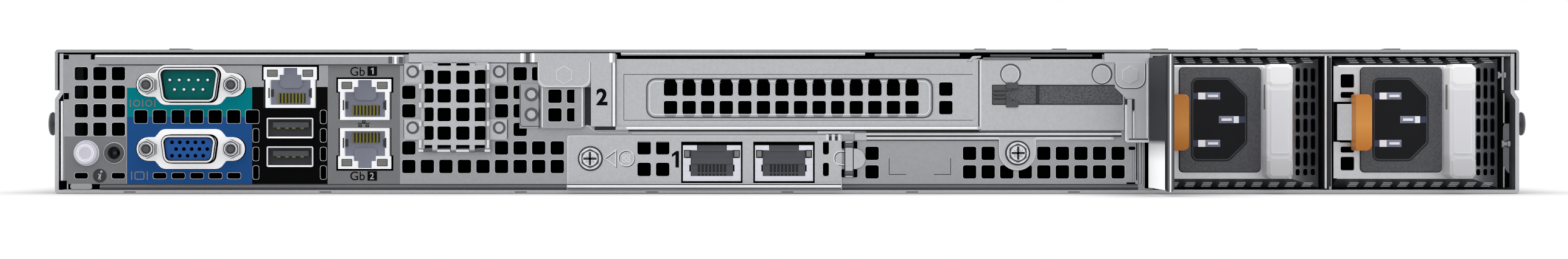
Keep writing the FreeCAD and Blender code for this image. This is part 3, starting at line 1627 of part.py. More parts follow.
pieces = [
    chassis_tray(),
    rail_studs(),
    top_cover(),
    cover_latch(),
    rear_panel(),
    d_port("serial"),
    serial_insert(),
    d_port("video"),
    video_insert(),
    port_standoffs(),
    network_ports(),
    jack_contacts(),
    usb_ports(),
    usb_inserts(),
    status_jack(),
    id_button(),
    vent_blank(),
    riveted_bracket(),
    riser_cage(),
    slot_blank(),
    riser_blank(),
    retainer_strip(),
    riser_bracket(),
    riser_rail(),
    captive_screws(),
    network_bracket(),
    network_jacks(),
    card_clip(),
    psu_cage(),
    system_board(),
    heat_sinks(),
    memory_modules(),
    fan_housings(),
    drive_cage(),
    drive_backplane(),
    front_panel(),
    rack_ears(),
    power_button(),
]
for number, left in enumerate(psu_lefts, 1):
    pieces += [make(number, left) for make in (psu_case, psu_inlet, psu_handle, psu_latch)]
for number, x in enumerate(fan_centres, 1):
    pieces.append(fan_rotor(number, x))
for number, x in enumerate(bay_centres, 1):
    pieces += [drive_carrier(number, x), drive_lever(number, x)]

doc.recompute()

faults = [item.Name for item in doc.Objects if {"Invalid", "Error"} & set(item.State)]
faults += [item.Name for item in pieces if item.Shape.isNull() or not item.Shape.isValid()]
if faults:
    raise RuntimeError("not built: " + ", ".join(faults))

os.makedirs("parts", exist_ok=True)
for item in pieces:
    item.Label = item.Name
    item.Shape.exportStep(f"parts/{item.Label}.step")
print(len(pieces), "pieces written")
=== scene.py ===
import json
import math

import bmesh
import bpy
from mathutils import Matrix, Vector


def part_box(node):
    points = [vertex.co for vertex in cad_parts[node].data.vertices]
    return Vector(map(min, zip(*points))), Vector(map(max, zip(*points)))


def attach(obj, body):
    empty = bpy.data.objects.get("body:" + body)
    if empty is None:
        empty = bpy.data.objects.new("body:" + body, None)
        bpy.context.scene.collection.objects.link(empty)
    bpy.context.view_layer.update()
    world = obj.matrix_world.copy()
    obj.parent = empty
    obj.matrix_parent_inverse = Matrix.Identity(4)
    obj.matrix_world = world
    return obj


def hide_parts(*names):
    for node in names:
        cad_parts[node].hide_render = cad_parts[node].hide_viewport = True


# Rear of a one-unit rack server. The solids come from the frame. The pieces made here add finishes, ports,
# printed marks and small fittings. Lengths are in mm, and MM turns them into the scene's metres.

MM = 0.001
WELD = 0.000002

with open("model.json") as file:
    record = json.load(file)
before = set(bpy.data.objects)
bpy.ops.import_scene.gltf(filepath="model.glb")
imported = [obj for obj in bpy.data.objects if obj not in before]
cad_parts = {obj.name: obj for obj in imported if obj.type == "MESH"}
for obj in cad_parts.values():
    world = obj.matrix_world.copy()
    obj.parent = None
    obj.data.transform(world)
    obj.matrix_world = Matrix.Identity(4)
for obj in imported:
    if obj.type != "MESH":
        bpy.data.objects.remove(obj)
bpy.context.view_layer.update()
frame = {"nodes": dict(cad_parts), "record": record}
nodes = frame["nodes"]
node_slots = {row["node"]: row["material_slot"] for row in frame["record"]["subparts"]}
node_bodies = {
    node: body for body, names in frame["record"]["behaviour"]["bodies"].items() for node in names
}

# Levels. A depth counts out of the rear plane, towards the viewer.

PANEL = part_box("psu_1_case")[0].y
INK = 0.05
THIN = 0.8
SHEET = 1.0
EDGE = 0.2


# Materials

MATERIALS = {}


def shader(name):
    """The node tree and the main shader of a new material."""
    material = bpy.data.materials.new(name)
    material.use_nodes = True
    MATERIALS[name] = material
    tree = material.node_tree
    return tree, tree.nodes["Principled BSDF"]


def add(tree, kind, **values):
    """A node in a tree, with its inputs or settings."""
    node = tree.nodes.new(kind)
    for key, value in values.items():
        if key in node.inputs:
            node.inputs[key].default_value = value
        else:
            setattr(node, key, value)
    return node


def ramp(tree, factor, stops):
    """A colour that follows a factor; stops are (position, colour)."""
    node = tree.nodes.new("ShaderNodeValToRGB")
    for number, (position, colour) in enumerate(stops):
        if number > 1:
            node.color_ramp.elements.new(position)
        element = node.color_ramp.elements[number]
        element.position = position
        element.color = (*colour, 1)
    tree.links.new(factor, node.inputs["Fac"])
    return node.outputs["Color"]


def srgb(red, green, blue):
    """A colour read off a screen, as the linear values that the shader takes."""
    shares = [c / 255 for c in (red, green, blue)]
    return tuple(c / 12.92 if c <= 0.04 else ((c + 0.055) / 1.055) ** 2.4 for c in shares)


def spread(colour, amount):
    """A darker and a lighter tone of a colour."""
    return [tuple(min(c * factor, 1.0) for c in colour) for factor in (1 - amount, 1 + amount)]


def noise(tree, size, detail=3.0, roughness=0.6):
    """A cloudy pattern in the object's own space."""
    coordinates = add(tree, "ShaderNodeTexCoord")
    texture = add(tree, "ShaderNodeTexNoise", Scale=1 / (size * MM), Detail=detail, Roughness=roughness)
    tree.links.new(coordinates.outputs["Object"], texture.inputs["Vector"])
    return texture.outputs["Fac"]


def cloudy(tree, pattern, low, high, colour, amount):
    """A colour that drifts with a pattern between two of its levels."""
    darker, lighter = spread(colour, amount)
    return ramp(tree, pattern, [(low, darker), (high, lighter)])


def relief(tree, main, height, strength):
    """Fine bumps that follow a pattern."""
    bump = add(tree, "ShaderNodeBump", Strength=strength, Distance=0.2 * MM)
    tree.links.new(height, bump.inputs["Height"])
    tree.links.new(bump.outputs["Normal"], main.inputs["Normal"])


def surface(main, roughness, gloss, glow=0.0):
    """How rough and how shiny a plastic is, and how much painted light it glows with."""
    main.inputs["Roughness"].default_value = roughness
    main.inputs["Specular IOR Level"].default_value = gloss
    main.inputs["Emission Strength"].default_value = glow


def metal(name, colour, roughness, spangle=0.03, grain=0.05, size=1.2, bump=0.03, metallic=1.0):
    """Sheet metal: cloudy zinc spangle in the colour and a fine grain in the roughness."""
    tree, main = shader(name)
    tones = cloudy(tree, noise(tree, size, 6.0), 0.35, 0.65, srgb(*colour), spangle)
    tree.links.new(tones, main.inputs["Base Color"])
    fine = noise(tree, 0.3, 3.0, 0.7)
    rough = add(tree, "ShaderNodeMapRange")
    rough.inputs["To Min"].default_value = roughness - grain
    rough.inputs["To Max"].default_value = roughness + grain
    tree.links.new(fine, rough.inputs["Value"])
    tree.links.new(rough.outputs["Result"], main.inputs["Roughness"])
    relief(tree, main, fine, bump)
    main.inputs["Metallic"].default_value = metallic


def plastic(name, colour, roughness=0.45, grain=0.35, bump=0.1, variation=0.05, gloss=0.3, glow=0.0):
    """Moulded plastic: a fine pitted texture and slightly uneven colour; a glow, where given, is painted
    light.
    """
    tree, main = shader(name)
    tones = cloudy(tree, noise(tree, 8.0), 0.3, 0.7, srgb(*colour), variation)
    tree.links.new(tones, main.inputs["Base Color"])
    tree.links.new(tones, main.inputs["Emission Color"])
    relief(tree, main, noise(tree, grain, 2.0), bump)
    surface(main, roughness, gloss, glow)


def leather(name, colour, size, contrast):
    """Plastic with a leather grain whose creases are darkened as painted shade."""
    tree, main = shader(name)
    grain = noise(tree, size, 2.0, 0.5)
    tones = cloudy(tree, grain, 0.36, 0.64, srgb(*colour), contrast)
    tree.links.new(tones, main.inputs["Base Color"])
    relief(tree, main, grain, 0.8)
    surface(main, 0.5, 0.3)


def ink(name, colour):
    """A matt print, thin enough to follow the grain of what carries it."""
    plastic(name, colour, roughness=0.7, grain=0.3, bump=0.04, variation=0.03, gloss=0.05)


def banded(name, axis, stops, roughness=0.45, gloss=0.3, glow=0.0):
    """A finish whose tone changes along an axis; stops are (place, colour)."""
    tree, main = shader(name)
    coordinates = add(tree, "ShaderNodeTexCoord")
    split = add(tree, "ShaderNodeSeparateXYZ")
    tree.links.new(coordinates.outputs["Object"], split.inputs["Vector"])
    first = stops[0][0]
    span = stops[-1][0] - first
    along = add(tree, "ShaderNodeMapRange")
    along.inputs["From Min"].default_value = first * MM
    along.inputs["From Max"].default_value = (first + span) * MM
    tree.links.new(split.outputs[axis], along.inputs["Value"])
    sway = add(tree, "ShaderNodeMath", operation="MULTIPLY_ADD")
    sway.inputs[1].default_value = 0.01
    tree.links.new(noise(tree, 1.5), sway.inputs[0])
    tree.links.new(along.outputs["Result"], sway.inputs[2])
    shares = [((place - first) / span, srgb(*colour)) for place, colour in stops]
    tones = ramp(tree, sway.outputs["Value"], shares)
    tree.links.new(tones, main.inputs["Base Color"])
    tree.links.new(tones, main.inputs["Emission Color"])
    surface(main, roughness, gloss, glow)
    relief(tree, main, noise(tree, 0.5, 2.0), 0.1)


# Metals

metal("galvanised_steel", (162, 163, 167), 0.42)
metal("bracket_steel", (188, 189, 193), 0.4, spangle=0.045, size=0.8)
metal("bright_steel", (206, 207, 210), 0.2, spangle=0.02)
metal("supply_case", (202, 203, 206), 0.45)
metal("drive_metal", (110, 111, 115), 0.45)
metal("fin_aluminium", (200, 200, 203), 0.35)
metal("chrome", (222, 223, 227), 0.14, spangle=0.01)
# Darker steel, for painted shade on folds, rims, rings, seams and edges
metal("painted_shade_metal", (98, 99, 104), 0.45)
# A darker steel: painted shade on the lower hem and in the tray's dimples; the rail studs take it too
metal("darker_steel", (106, 107, 111), 0.3, metallic=0.7)
metal("nut_steel", (138, 139, 143), 0.22, spangle=0.02)

# Plain plastics, and the painted highlights and painted shade of folds, rims, slopes and openings

plastic("teal_plastic", (0, 114, 110), gloss=0.1)
plastic("blue_plastic", (18, 88, 168))
# The white jack plastic and the card jacks' shields glow a little: painted light
plastic("jack_plastic", (248, 249, 253), roughness=0.35, glow=0.22)
plastic("jack_shield", (236, 237, 246), roughness=0.3, glow=0.12)
plastic("contact_gold", (130, 122, 26), roughness=0.4)
# A darker gold: painted shade on the contacts deep in the universal ports
plastic("contact_gold_in_shade", (104, 102, 66), roughness=0.4)
plastic("grey_plastic", (96, 98, 103))
plastic("dark_plastic", (56, 57, 60))
plastic("button_white", (224, 222, 236), roughness=0.3)
plastic("board_green", (14, 70, 40))
# Painted highlights on the lips of holes and in the screws' recesses
plastic("painted_lip_highlight", (214, 215, 219), roughness=0.4, bump=0.03)
# Glowing light grey: painted highlights along folds, rolls, beads and edges
plastic("painted_edge_highlight", (238, 239, 242), roughness=0.3, bump=0.03, glow=0.1)
# Glowing white: painted highlights on bends, hems, sills, dots and glints, and the painted shine of the port
# flanges
plastic("painted_white_highlight", (252, 252, 254), roughness=0.25, bump=0.02, glow=0.3)
# A glowing pale finish for the hook bracket's steel: painted light that lifts its shade beside the guard
plastic("hook_steel_painted_light", (206, 207, 211), roughness=0.4, variation=0.03, glow=0.08)
# Painted highlights on the louvres' lips and along the cage top
plastic("painted_dash_highlight", (206, 207, 213), roughness=0.4, glow=0.1)
plastic("lamp_grey", (140, 140, 138), roughness=0.3)
plastic("slit_green", (140, 150, 142), roughness=0.4)
# The blades' slopes, tips and the light beside them are painted reflections and highlights
plastic("blade_reflection_grey", (150, 156, 180), roughness=0.35)
plastic("blade_dim_reflection", (58, 66, 96), roughness=0.4)
plastic("blade_highlight", (240, 240, 246), roughness=0.4, glow=0.2)
# Painted shade on the supply cases' slopes and in their slanted holes
plastic("painted_slope_shade", (88, 90, 98), roughness=0.8, gloss=0.05)
# The inlet socket's black plastic, darkened further as painted shade in its recess
plastic("socket_black_and_shade", (20, 21, 25), roughness=0.5, gloss=0.15)
# Near black: painted shade in holes, gaps and openings, and on the sheet behind the panel
plastic("painted_hollow_shade", (2, 2, 3), roughness=0.9, gloss=0.0)
# Half-rough plastics; the grey inside the white jacks and the dark of slots, gaps and the bay are painted
# shade
HALF_ROUGH = {
    "jack_inside": (134, 137, 152),
    "card_inside": (84, 85, 92),
    "card_slots": (30, 30, 34),
    "slot_dark": (50, 51, 56),
    "grey_dark": (88, 89, 92),
    "tongue_dark": (82, 83, 86),
    "bay_dark": (44, 45, 50),
}
for name, colour in HALF_ROUGH.items():
    plastic(name, colour, roughness=0.5)

# Grained plastics, with painted shade in the creases of their grain

leather("inlet_plastic", (92, 93, 98), 0.4, 0.18)
leather("strip_grain_and_shade", (98, 99, 103), 0.5, 0.34)

# Prints, whose dark, light and black inks also paint shadow and highlight lines

INKS = {
    "label_grey": (138, 139, 142),
    "label_teal": (0, 139, 150),
    "label_blue": (36, 88, 154),
    "label_black": (4, 4, 5),
    "ink_black": (8, 8, 10),
    "ink_grey": (128, 136, 142),
    "ink_dark": (72, 72, 76),
    "ink_light": (196, 196, 198),
}
for name, colour in INKS.items():
    ink(name, colour)

# Painted light along an axis: down the handle and the release, a reflection on the guard, a shine on its tube

# The handle's pale plastic, painted lighter towards its top
HANDLE_LIGHT_TONES = [
    (4.0, (198, 198, 202)),
    (10.8, (208, 208, 212)),
    (12.2, (222, 222, 227)),
    (30.4, (230, 230, 235)),
    (32.0, (250, 250, 252)),
    (39.0, (254, 254, 255)),
]
banded("handle_plastic", "Z", HANDLE_LIGHT_TONES, glow=0.1)
# The release's orange, painted lighter at mid-height as light on its rounded face
banded("orange_plastic", "Z", [(12.5, (204, 120, 32)), (20.5, (236, 160, 78)), (29.8, (216, 134, 54))])
# A painted reflection on the guard's side: white low down, dark above
GUARD_REFLECTION_TONES = [
    (0.0, (254, 254, 255)),
    (10.0, (254, 254, 255)),
    (14.8, (196, 197, 200)),
    (16.2, (58, 60, 64)),
    (30.0, (54, 56, 60)),
    (42.0, (68, 70, 74)),
]
banded("guard_painted_reflection", "Z", GUARD_REFLECTION_TONES, roughness=0.9, gloss=0.02, glow=0.35)
GUARD_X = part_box("psu_cage")[0].x / MM
# A painted shine across the guard's tube: dark at the sides, a white streak near the middle
TUBE_SHINE_TONES = [
    (GUARD_X - 0.2, (20, 21, 24)),
    (GUARD_X + 0.1, (60, 61, 65)),
    (GUARD_X + 0.4, (96, 97, 101)),
    (GUARD_X + 0.7, (140, 141, 145)),
    (GUARD_X + 0.85, (250, 250, 252)),
    (GUARD_X + 1.05, (250, 250, 252)),
    (GUARD_X + 1.25, (110, 111, 115)),
    (GUARD_X + 2.0, (60, 61, 65)),
]
banded("tube_shine", "X", TUBE_SHINE_TONES, gloss=0.1, glow=0.25)


# Outlines, as lists of (x, z)


def disc(x, z, radius, sides=32, start=0.0):
    """A circle, or a polygon of few sides."""
    turns = [math.radians(start + 360 * step / sides) for step in range(sides)]
    return [(x + radius * math.cos(turn), z + radius * math.sin(turn)) for turn in turns]


def hexagon(x, z, radius):
    """A hexagon that stands on a corner."""
    return disc(x, z, radius, 6, 90)


def rounded(corners, radii, steps=5):
    """A polygon with its corners rounded; one radius for all, or one for each corner."""
    if not isinstance(radii, (list, tuple)):
        radii = [radii] * len(corners)
    outline = []
    for number, (corner, radius) in enumerate(zip(corners, radii)):
        here = Vector(corner)
        back = (Vector(corners[number - 1]) - here).normalized()
        on = (Vector(corners[(number + 1) % len(corners)]) - here).normalized()
        half = back.angle(on) / 2
        reach = radius / math.tan(half)
        start, end = here + back * reach, here + on * reach
        for step in range(steps + 1 if radius else 1):
            t = step / steps
            weights = (1 - t) ** 2, 2 * t * (1 - t) * math.sin(half), t * t
            spot = (start * weights[0] + here * weights[1] + end * weights[2]) / sum(weights)
            outline.append(tuple(spot))
    return outline


def block(x0, x1, z0, z1, corner=0.0):
    """A rectangle, with rounded corners if asked."""
    return rounded([(x0, z0), (x1, z0), (x1, z1), (x0, z1)], corner)


def around(x, z, width, height, corner=0.0):
    """A rectangle about its middle."""
    return block(x - width / 2, x + width / 2, z - height / 2, z + height / 2, corner)


def upright(x, width, z0, z1):
    """A rectangle about an upright line."""
    return block(x - width / 2, x + width / 2, z0, z1)


def shrunk(outline, amount):
    """An outline drawn in by an amount, or let out where the amount is below zero."""
    result = []
    for number, spot in enumerate(outline):
        here = Vector(spot)
        back = (here - Vector(outline[number - 1])).normalized()
        on = (Vector(outline[(number + 1) % len(outline)]) - here).normalized()
        inward = Vector((-back.y, back.x)) + Vector((-on.y, on.x))
        result.append(tuple(here + inward * (2 * amount / inward.length_squared)))
    return result


def moved(outline, x=0.0, z=0.0, flip=1):
    """An outline at another place; a flip of -1 turns it upside down."""
    return [(x + u, z + flip * v) for u, v in outline]


def both_sides(half):
    """An outline that is the same left and right, from its right half."""
    return half + [(-u, v) for u, v in reversed(half)]


def line(x0, z0, x1, z1, width):
    """The outline of a straight stroke."""
    along = Vector((x1 - x0, z1 - z0)).normalized() * width / 2
    u, v = -along.y, along.x
    return [(x0 + u, z0 + v), (x0 - u, z0 - v), (x1 - u, z1 - v), (x1 + u, z1 + v)]


def level(x0, x1, z, width):
    """The outline of a stroke that runs across."""
    return line(x0, z, x1, z, width)


def digit_one(x, z, height):
    """The figure one, with a flag, in a stroke of a fifth of its height."""
    shape = [(0.22, 0), (0.43, 0), (0.43, 1), (0.26, 1), (0, 0.8), (0, 0.63), (0.22, 0.77)]
    return [(x + u * height, z + v * height) for u, v in shape]


def half_round(radius, sides=16):
    """A half circle, as (along, out)."""
    turns = [math.pi * step / sides for step in range(sides + 1)]
    return [(radius * math.cos(turn), radius * math.sin(turn)) for turn in turns]


# Building pieces


class Place:
    """The box of a solid piece."""

    def __init__(self, node):
        low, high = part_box(node)
        self.left, self.right = low.x / MM, high.x / MM
        self.low, self.high = low.z / MM, high.z / MM
        self.width, self.height = self.right - self.left, self.high - self.low
        self.x, self.z = self.left + self.width / 2, self.low + self.height / 2
        self.front = (PANEL - low.y) / MM


class Shape:
    """A mesh under construction. Its places count from the lower left corner of a piece, if one is given."""

    def __init__(self, at=None):
        self.mesh = bmesh.new()
        self.x, self.z = (at.left, at.low) if at else (0.0, 0.0)

    def point(self, x, depth, z):
        """A new vertex."""
        return self.mesh.verts.new(((self.x + x) * MM, PANEL - depth * MM, (self.z + z) * MM))

    def loop(self, outline, depth):
        """The vertices of an outline at a depth."""
        return [self.point(x, depth, z) for x, z in outline]

    def bridge(self, loop, other):
        """The faces between two loops."""
        for i, j in zip(range(-1, len(loop) - 1), range(len(loop))):
            self.mesh.faces.new((loop[i], loop[j], other[j], other[i]))

    def chain(self, loops):
        """The faces from each loop to the next."""
        for here, there in zip(loops, loops[1:]):
            self.bridge(here, there)

    def soften(self, edges, amount, segments):
        """Rounds edges off."""
        if amount:
            settings = dict(segments=segments, profile=0.5, affect="EDGES", clamp_overlap=True)
            bmesh.ops.bevel(self.mesh, geom=list(set(edges)), offset=amount * MM, **settings)

    def plate(self, outline, back, front, soft=0.0, segments=2):
        """An outline that stands out from one depth to another, its outer rim softened."""
        low = self.loop(outline, back)
        high = self.loop(outline, front)
        self.bridge(low, high)
        self.mesh.faces.new(low)
        face = self.mesh.faces.new(high)
        self.soften(face.edges, soft, segments)
        return self

    def ring(self, *levels):
        """A band through outlines of the same number of points, each at its depth."""
        self.chain([self.loop(outline, depth) for outline, depth in levels])
        return self

    def bead(self, outline, depth, width, height):
        """A low raised line along an outline."""
        out, inside = shrunk(outline, -width / 2), shrunk(outline, width / 2)
        return self.ring((out, depth), (outline, depth + height), (inside, depth))

    def stroke(self, path, depth, width, height):
        """A low raised line along an open path."""
        rows = []
        for number, spot in enumerate(path):
            back = Vector(path[max(number - 1, 0)])
            on = Vector(path[min(number + 1, len(path) - 1)])
            here = Vector(spot)
            aside = (on - back).orthogonal().normalized() * width / 2
            across = ((here + aside, depth), (here, depth + height), (here - aside, depth))
            rows.append([self.point(place.x, out, place.y) for place, out in across])
        for here, there in zip(rows, rows[1:]):
            for i in (0, 1):
                self.mesh.faces.new((here[i], here[i + 1], there[i + 1], there[i]))
        return self

    def frame(self, outer, inner, back, front, soft=0.0):
        """A plate with an opening in it; both outlines have the same number of points."""
        corners = ((outer, back), (outer, front), (inner, front), (inner, back))
        loops = [self.loop(outline, depth) for outline, depth in corners]
        self.chain(loops + loops[:1])
        rims = [self.mesh.edges.get((loop[i - 1], loop[i])) for loop in loops[1:3] for i in range(len(loop))]
        self.soften(rims, soft, 2)
        return self

    def bevelled(self, outline, back, front, slope):
        """A block with flat bevels round its front face."""
        face = shrunk(outline, slope)
        self.ring((outline, back), (outline, front - slope), (face, front))
        self.mesh.faces.new(self.loop(face, front))
        return self

    def skin(self, outline, depth_at):
        """A flat patch whose depth follows x."""
        self.mesh.faces.new([self.point(x, depth_at(x), z) for x, z in outline])
        return self

    def well(self, outline, mouth, floor):
        """Walls and floor of an opening that faces out."""
        top = self.loop(outline, mouth)
        low = self.loop(outline, floor)
        self.bridge(top, low)
        self.mesh.faces.new(low)
        return self

    def turn(self, x, z, profile, depth=0.0, sides=40):
        """A profile of (radius, rise) turned about an axis that faces out; the last radius is closed."""
        loops = [self.loop(disc(x, z, radius, sides), depth + rise) for radius, rise in profile]
        self.chain(loops)
        self.mesh.faces.new(loops[-1])
        return self

    def carry(self, start, end):
        """The solid between two loops."""
        self.bridge(start, end)
        self.mesh.faces.new(start)
        self.mesh.faces.new(end)
        return self

    def bar(self, profile, x0, x1):
        """A profile of (depth, z) carried along X."""
        return self.carry(*[[self.point(x, depth, z) for depth, z in profile] for x in (x0, x1)])

    def post(self, profile, z0, z1):
        """A profile of (x, depth) carried along Z."""
        return self.carry(*[[self.point(x, depth, z) for x, depth in profile] for z in (z0, z1)])

    def pipe(self, x, depth, radius, z0, z1):
        """A half-round fold that runs up and faces out."""
        return self.post([(x + along, depth + out) for along, out in half_round(radius)], z0, z1)

    def roll(self, z, depth, radius, x0, x1):
        """A half-round fold that runs across and faces out."""
        return self.bar([(depth + out, z + along) for along, out in half_round(radius)], x0, x1)

    def letters(self, text, x, z, height, depth, bold=0.0):
        """Flat lettering whose lower left corner is at a place."""
        curve = bpy.data.curves.new("lettering", "FONT")
        curve.body = text
        curve.offset = bold
        holder = bpy.data.objects.new("lettering", curve)
        flat = bpy.data.meshes.new_from_object(holder)
        corners = [vertex.co for vertex in flat.vertices]
        low = [min(corner[axis] for corner in corners) for axis in (0, 1)]
        scale = height / (max(corner.y for corner in corners) - low[1])
        points = [self.point(x + (c.x - low[0]) * scale, depth, z + (c.y - low[1]) * scale) for c in corners]
        for face in flat.polygons:
            self.mesh.faces.new([points[number] for number in face.vertices])
        bpy.data.objects.remove(holder)
        bpy.data.meshes.remove(flat)
        return self

    def done(self, name, slot, finish=None, body="chassis", stands_for=(), angle=40):
        """Makes the piece, which rides a body and takes its finish from a slot."""
        bmesh.ops.recalc_face_normals(self.mesh, faces=self.mesh.faces)
        mesh = bpy.data.meshes.new(name)
        self.mesh.to_mesh(mesh)
        self.mesh.free()
        return settle(name, mesh, slot, body, [finish or slot], stands_for, angle)


def settle(name, mesh, slot, body, finishes, stands_for=(), angle=40):
    """Puts a mesh in the scene as a piece of a body."""
    for finish in finishes:
        mesh.materials.append(MATERIALS[finish])
    mesh.shade_smooth()
    mesh.set_sharp_from_angle(angle=math.radians(angle))
    piece = bpy.data.objects.new(name, mesh)
    bpy.context.scene.collection.objects.link(piece)
    even = piece.modifiers.new("even_shading", "WEIGHTED_NORMAL")
    even.keep_sharp = True
    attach(piece, body)
    for node in stands_for:
        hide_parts(node)
    return piece


def slab(name, outlines, back, front, slot, finish=None, body="chassis", soft=0.0, at=None, stands_for=()):
    """Outlines that stand out from one depth to another."""
    shape = Shape(at)
    for outline in outlines:
        shape.plate(outline, back, front, soft)
    return shape.done(name, slot, finish, body, stands_for)


def mark(name, outlines, depth, finish, body="chassis", at=None):
    """Flat outlines on a face, for print and for painted shade and highlights."""
    return slab(name, outlines, depth, depth + INK, "dark_plastic", finish, body, at=at)


SHARP_TURN = 0.6
FLAT_TURN = math.radians(0.3)


def dress(node, soft=0.0, segments=2, finish=None, slope=None):
    """A copy of a solid piece with softened edges; faces that slant may take a second finish that paints
    shade on them.
    """
    mesh = nodes[node].data.copy()
    shape = bmesh.new()
    shape.from_mesh(mesh)
    bmesh.ops.remove_doubles(shape, verts=shape.verts, dist=WELD)
    for face in shape.faces:
        slanted = slope and -0.95 < face.normal.y < -0.2
        face.material_index = 1 if slanted else 0
    if soft:
        bmesh.ops.dissolve_limit(shape, angle_limit=FLAT_TURN, verts=shape.verts, edges=shape.edges)
        joined = [edge for edge in shape.edges if len(edge.link_faces) == 2]
        sharp = [edge for edge in joined if edge.calc_face_angle(0) > SHARP_TURN]
        settings = dict(profile=0.5, affect="EDGES", clamp_overlap=True)
        bmesh.ops.bevel(shape, geom=sharp, offset=soft * MM, segments=segments, **settings)
    shape.to_mesh(mesh)
    shape.free()
    mesh.materials.clear()
    if "custom_normal" in mesh.attributes:
        mesh.attributes.remove(mesh.attributes["custom_normal"])
    slot = node_slots[node]
    finishes = [finish or slot] + ([slope] if slope else [])
    return settle(node + "_dressed", mesh, slot, node_bodies[node], finishes, [node])


def hole_loops(mesh):
    """The rims of the openings in the faces that look at the viewer, as (points, direction of the face)."""
    sheet = bmesh.new()
    sheet.from_mesh(mesh)
    bmesh.ops.remove_doubles(sheet, verts=sheet.verts, dist=WELD)
    links = {}
    facing = {}
    for edge in sheet.edges:
        if len(edge.link_faces) == 2:
            front, side = sorted(edge.link_faces, key=lambda face: face.normal.y)
            if front.normal.y < -0.4 and front.normal.dot(side.normal) < 0.7:
                for here, there in (edge.verts, reversed(edge.verts)):
                    links.setdefault(here, []).append(there)
                    facing[here] = front.normal.copy()
    loops = []
    while links:
        spot = next(iter(links))
        path = []
        while spot:
            path.append(spot)
            ahead = links.pop(spot)
            spot = next((other for other in ahead if other in links), None)
        loops.append(([vertex.co.copy() for vertex in path], facing[path[0]]))
    sheet.free()
    return loops


def corners_only(outline):
    """An outline without the points that lie along a straight side."""
    kept = []
    for number, spot in enumerate(outline):
        here = Vector(spot)
        back = here - Vector(outline[number - 1])
        on = Vector(outline[(number + 1) % len(outline)]) - here
        if back.length > 0 and on.length > 0 and back.angle(on) > 0.05:
            kept.append(spot)
    return kept


HOLE_LIMITS = (0.5, 5.4)
HOLE_ROUGH = 0.05


def small_holes(node, corner, slanted):
    """The small holes in a sheet's flat or slanted faces, as (outline, origin, across, rise, normal)."""
    found = []
    for points, normal in hole_loops(nodes[node].data):
        across = Vector((0, 0, 1)).cross(normal).normalized()
        rise = normal.cross(across)
        origin = points[0]
        reaches = [(spot - origin) / MM for spot in points]
        rough = max(abs(reach.dot(normal)) for reach in reaches)
        if (normal.y > -0.99) != slanted or rough > HOLE_ROUGH:
            continue
        flat = corners_only([(reach.dot(across), reach.dot(rise)) for reach in reaches])
        if len(flat) < 4:
            continue
        spans = [max(spot[axis] for spot in flat) - min(spot[axis] for spot in flat) for axis in (0, 1)]
        if min(spans) < HOLE_LIMITS[0] or max(spans) > HOLE_LIMITS[1]:
            continue
        area = sum(a[0] * b[1] - a[1] * b[0] for a, b in zip(flat, flat[1:] + flat[:1]))
        if area < 0:
            flat.reverse()
        if len(flat) == 4:
            flat = rounded(flat, min(corner, 0.45 * min(spans)))
        found.append((flat, origin, across, rise, normal))
    return found


def lifted(shape, hole, outline, lift):
    """Points of an outline in the plane of a hole, lifted off the sheet."""
    _, origin, across, rise, normal = hole
    spots = [origin + (across * u + rise * v + normal * lift) * MM for u, v in outline]
    return [shape.mesh.verts.new(spot) for spot in spots]


def hole_rims(node, corner=0.65, width=0.17, finish="painted_lip_highlight", slanted=False, plug=None):
    """Thin lips, with rounded corners, round the small holes of a sheet, by default painted as highlights;
    dark plugs of painted shade may close them.
    """
    holes = small_holes(node, corner, slanted)
    body = node_bodies[node]
    lips = Shape()
    for hole in holes:
        levels = ((shrunk(hole[0], -width), 0.0), (hole[0], 0.06), (shrunk(hole[0], 0.02), -0.2))
        lips.chain([lifted(lips, hole, outline, lift) for outline, lift in levels])
    lips.done(node + ("_slant_rims" if slanted else "_rims"), node_slots[node], finish, body)
    if plug:
        plugs = Shape()
        for hole in holes:
            plugs.mesh.faces.new(lifted(plugs, hole, hole[0], 0.03))
        plugs.done(node + "_plugs", "dark_plastic", plug, body)


def in_rear_plane(face):
    """Whether a face lies in the rear plane and looks at the viewer."""
    return face.normal.y <= -0.99 and abs(face.calc_center_median().y - PANEL) <= 0.1 * MM


def film(name, node, x0, x1, z0, z1, finish):
    """A printed patch: the outer face of a panel, cut to a rectangle and lifted a little."""
    place = Place(node)
    shape = bmesh.new()
    shape.from_mesh(nodes[node].data)
    others = [face for face in shape.faces if not in_rear_plane(face)]
    bmesh.ops.delete(shape, geom=others, context="FACES")
    across, up = Vector((1, 0, 0)), Vector((0, 0, 1))
    left, right, low, high = place.left + x0, place.left + x1, place.low + z0, place.low + z1
    sides = ((across, right), (-across, -left), (up, high), (-up, -low))
    for normal, reach in sides:
        geometry = [*shape.verts, *shape.edges, *shape.faces]
        cut = dict(plane_co=normal * reach * MM, plane_no=normal, clear_outer=True)
        bmesh.ops.bisect_plane(shape, geom=geometry, **cut)
    for vertex in shape.verts:
        vertex.co.y -= INK / 2 * MM
    mesh = bpy.data.meshes.new(name)
    shape.to_mesh(mesh)
    shape.free()
    return settle(name, mesh, "dark_plastic", "chassis", [finish])


# Finishes of the solid pieces that stay as they are

for name, node in nodes.items():
    pale = name in ("slot_blank", "vent_blank")
    node.data.materials.clear()
    node.data.materials.append(MATERIALS["bracket_steel" if pale else node_slots[name]])


# Sheet metal of the rear wall

for node in ("rear_panel", "slot_blank", "vent_blank", "network_bracket", "riveted_bracket"):
    hole_rims(node)
for node in ("riser_cage", "riser_blank", "riser_rail"):
    dress(node, EDGE, 3)
# The hook bracket's finish glows: painted light that lifts its shade beside the guard
dress("riser_bracket", EDGE, 3, "hook_steel_painted_light")

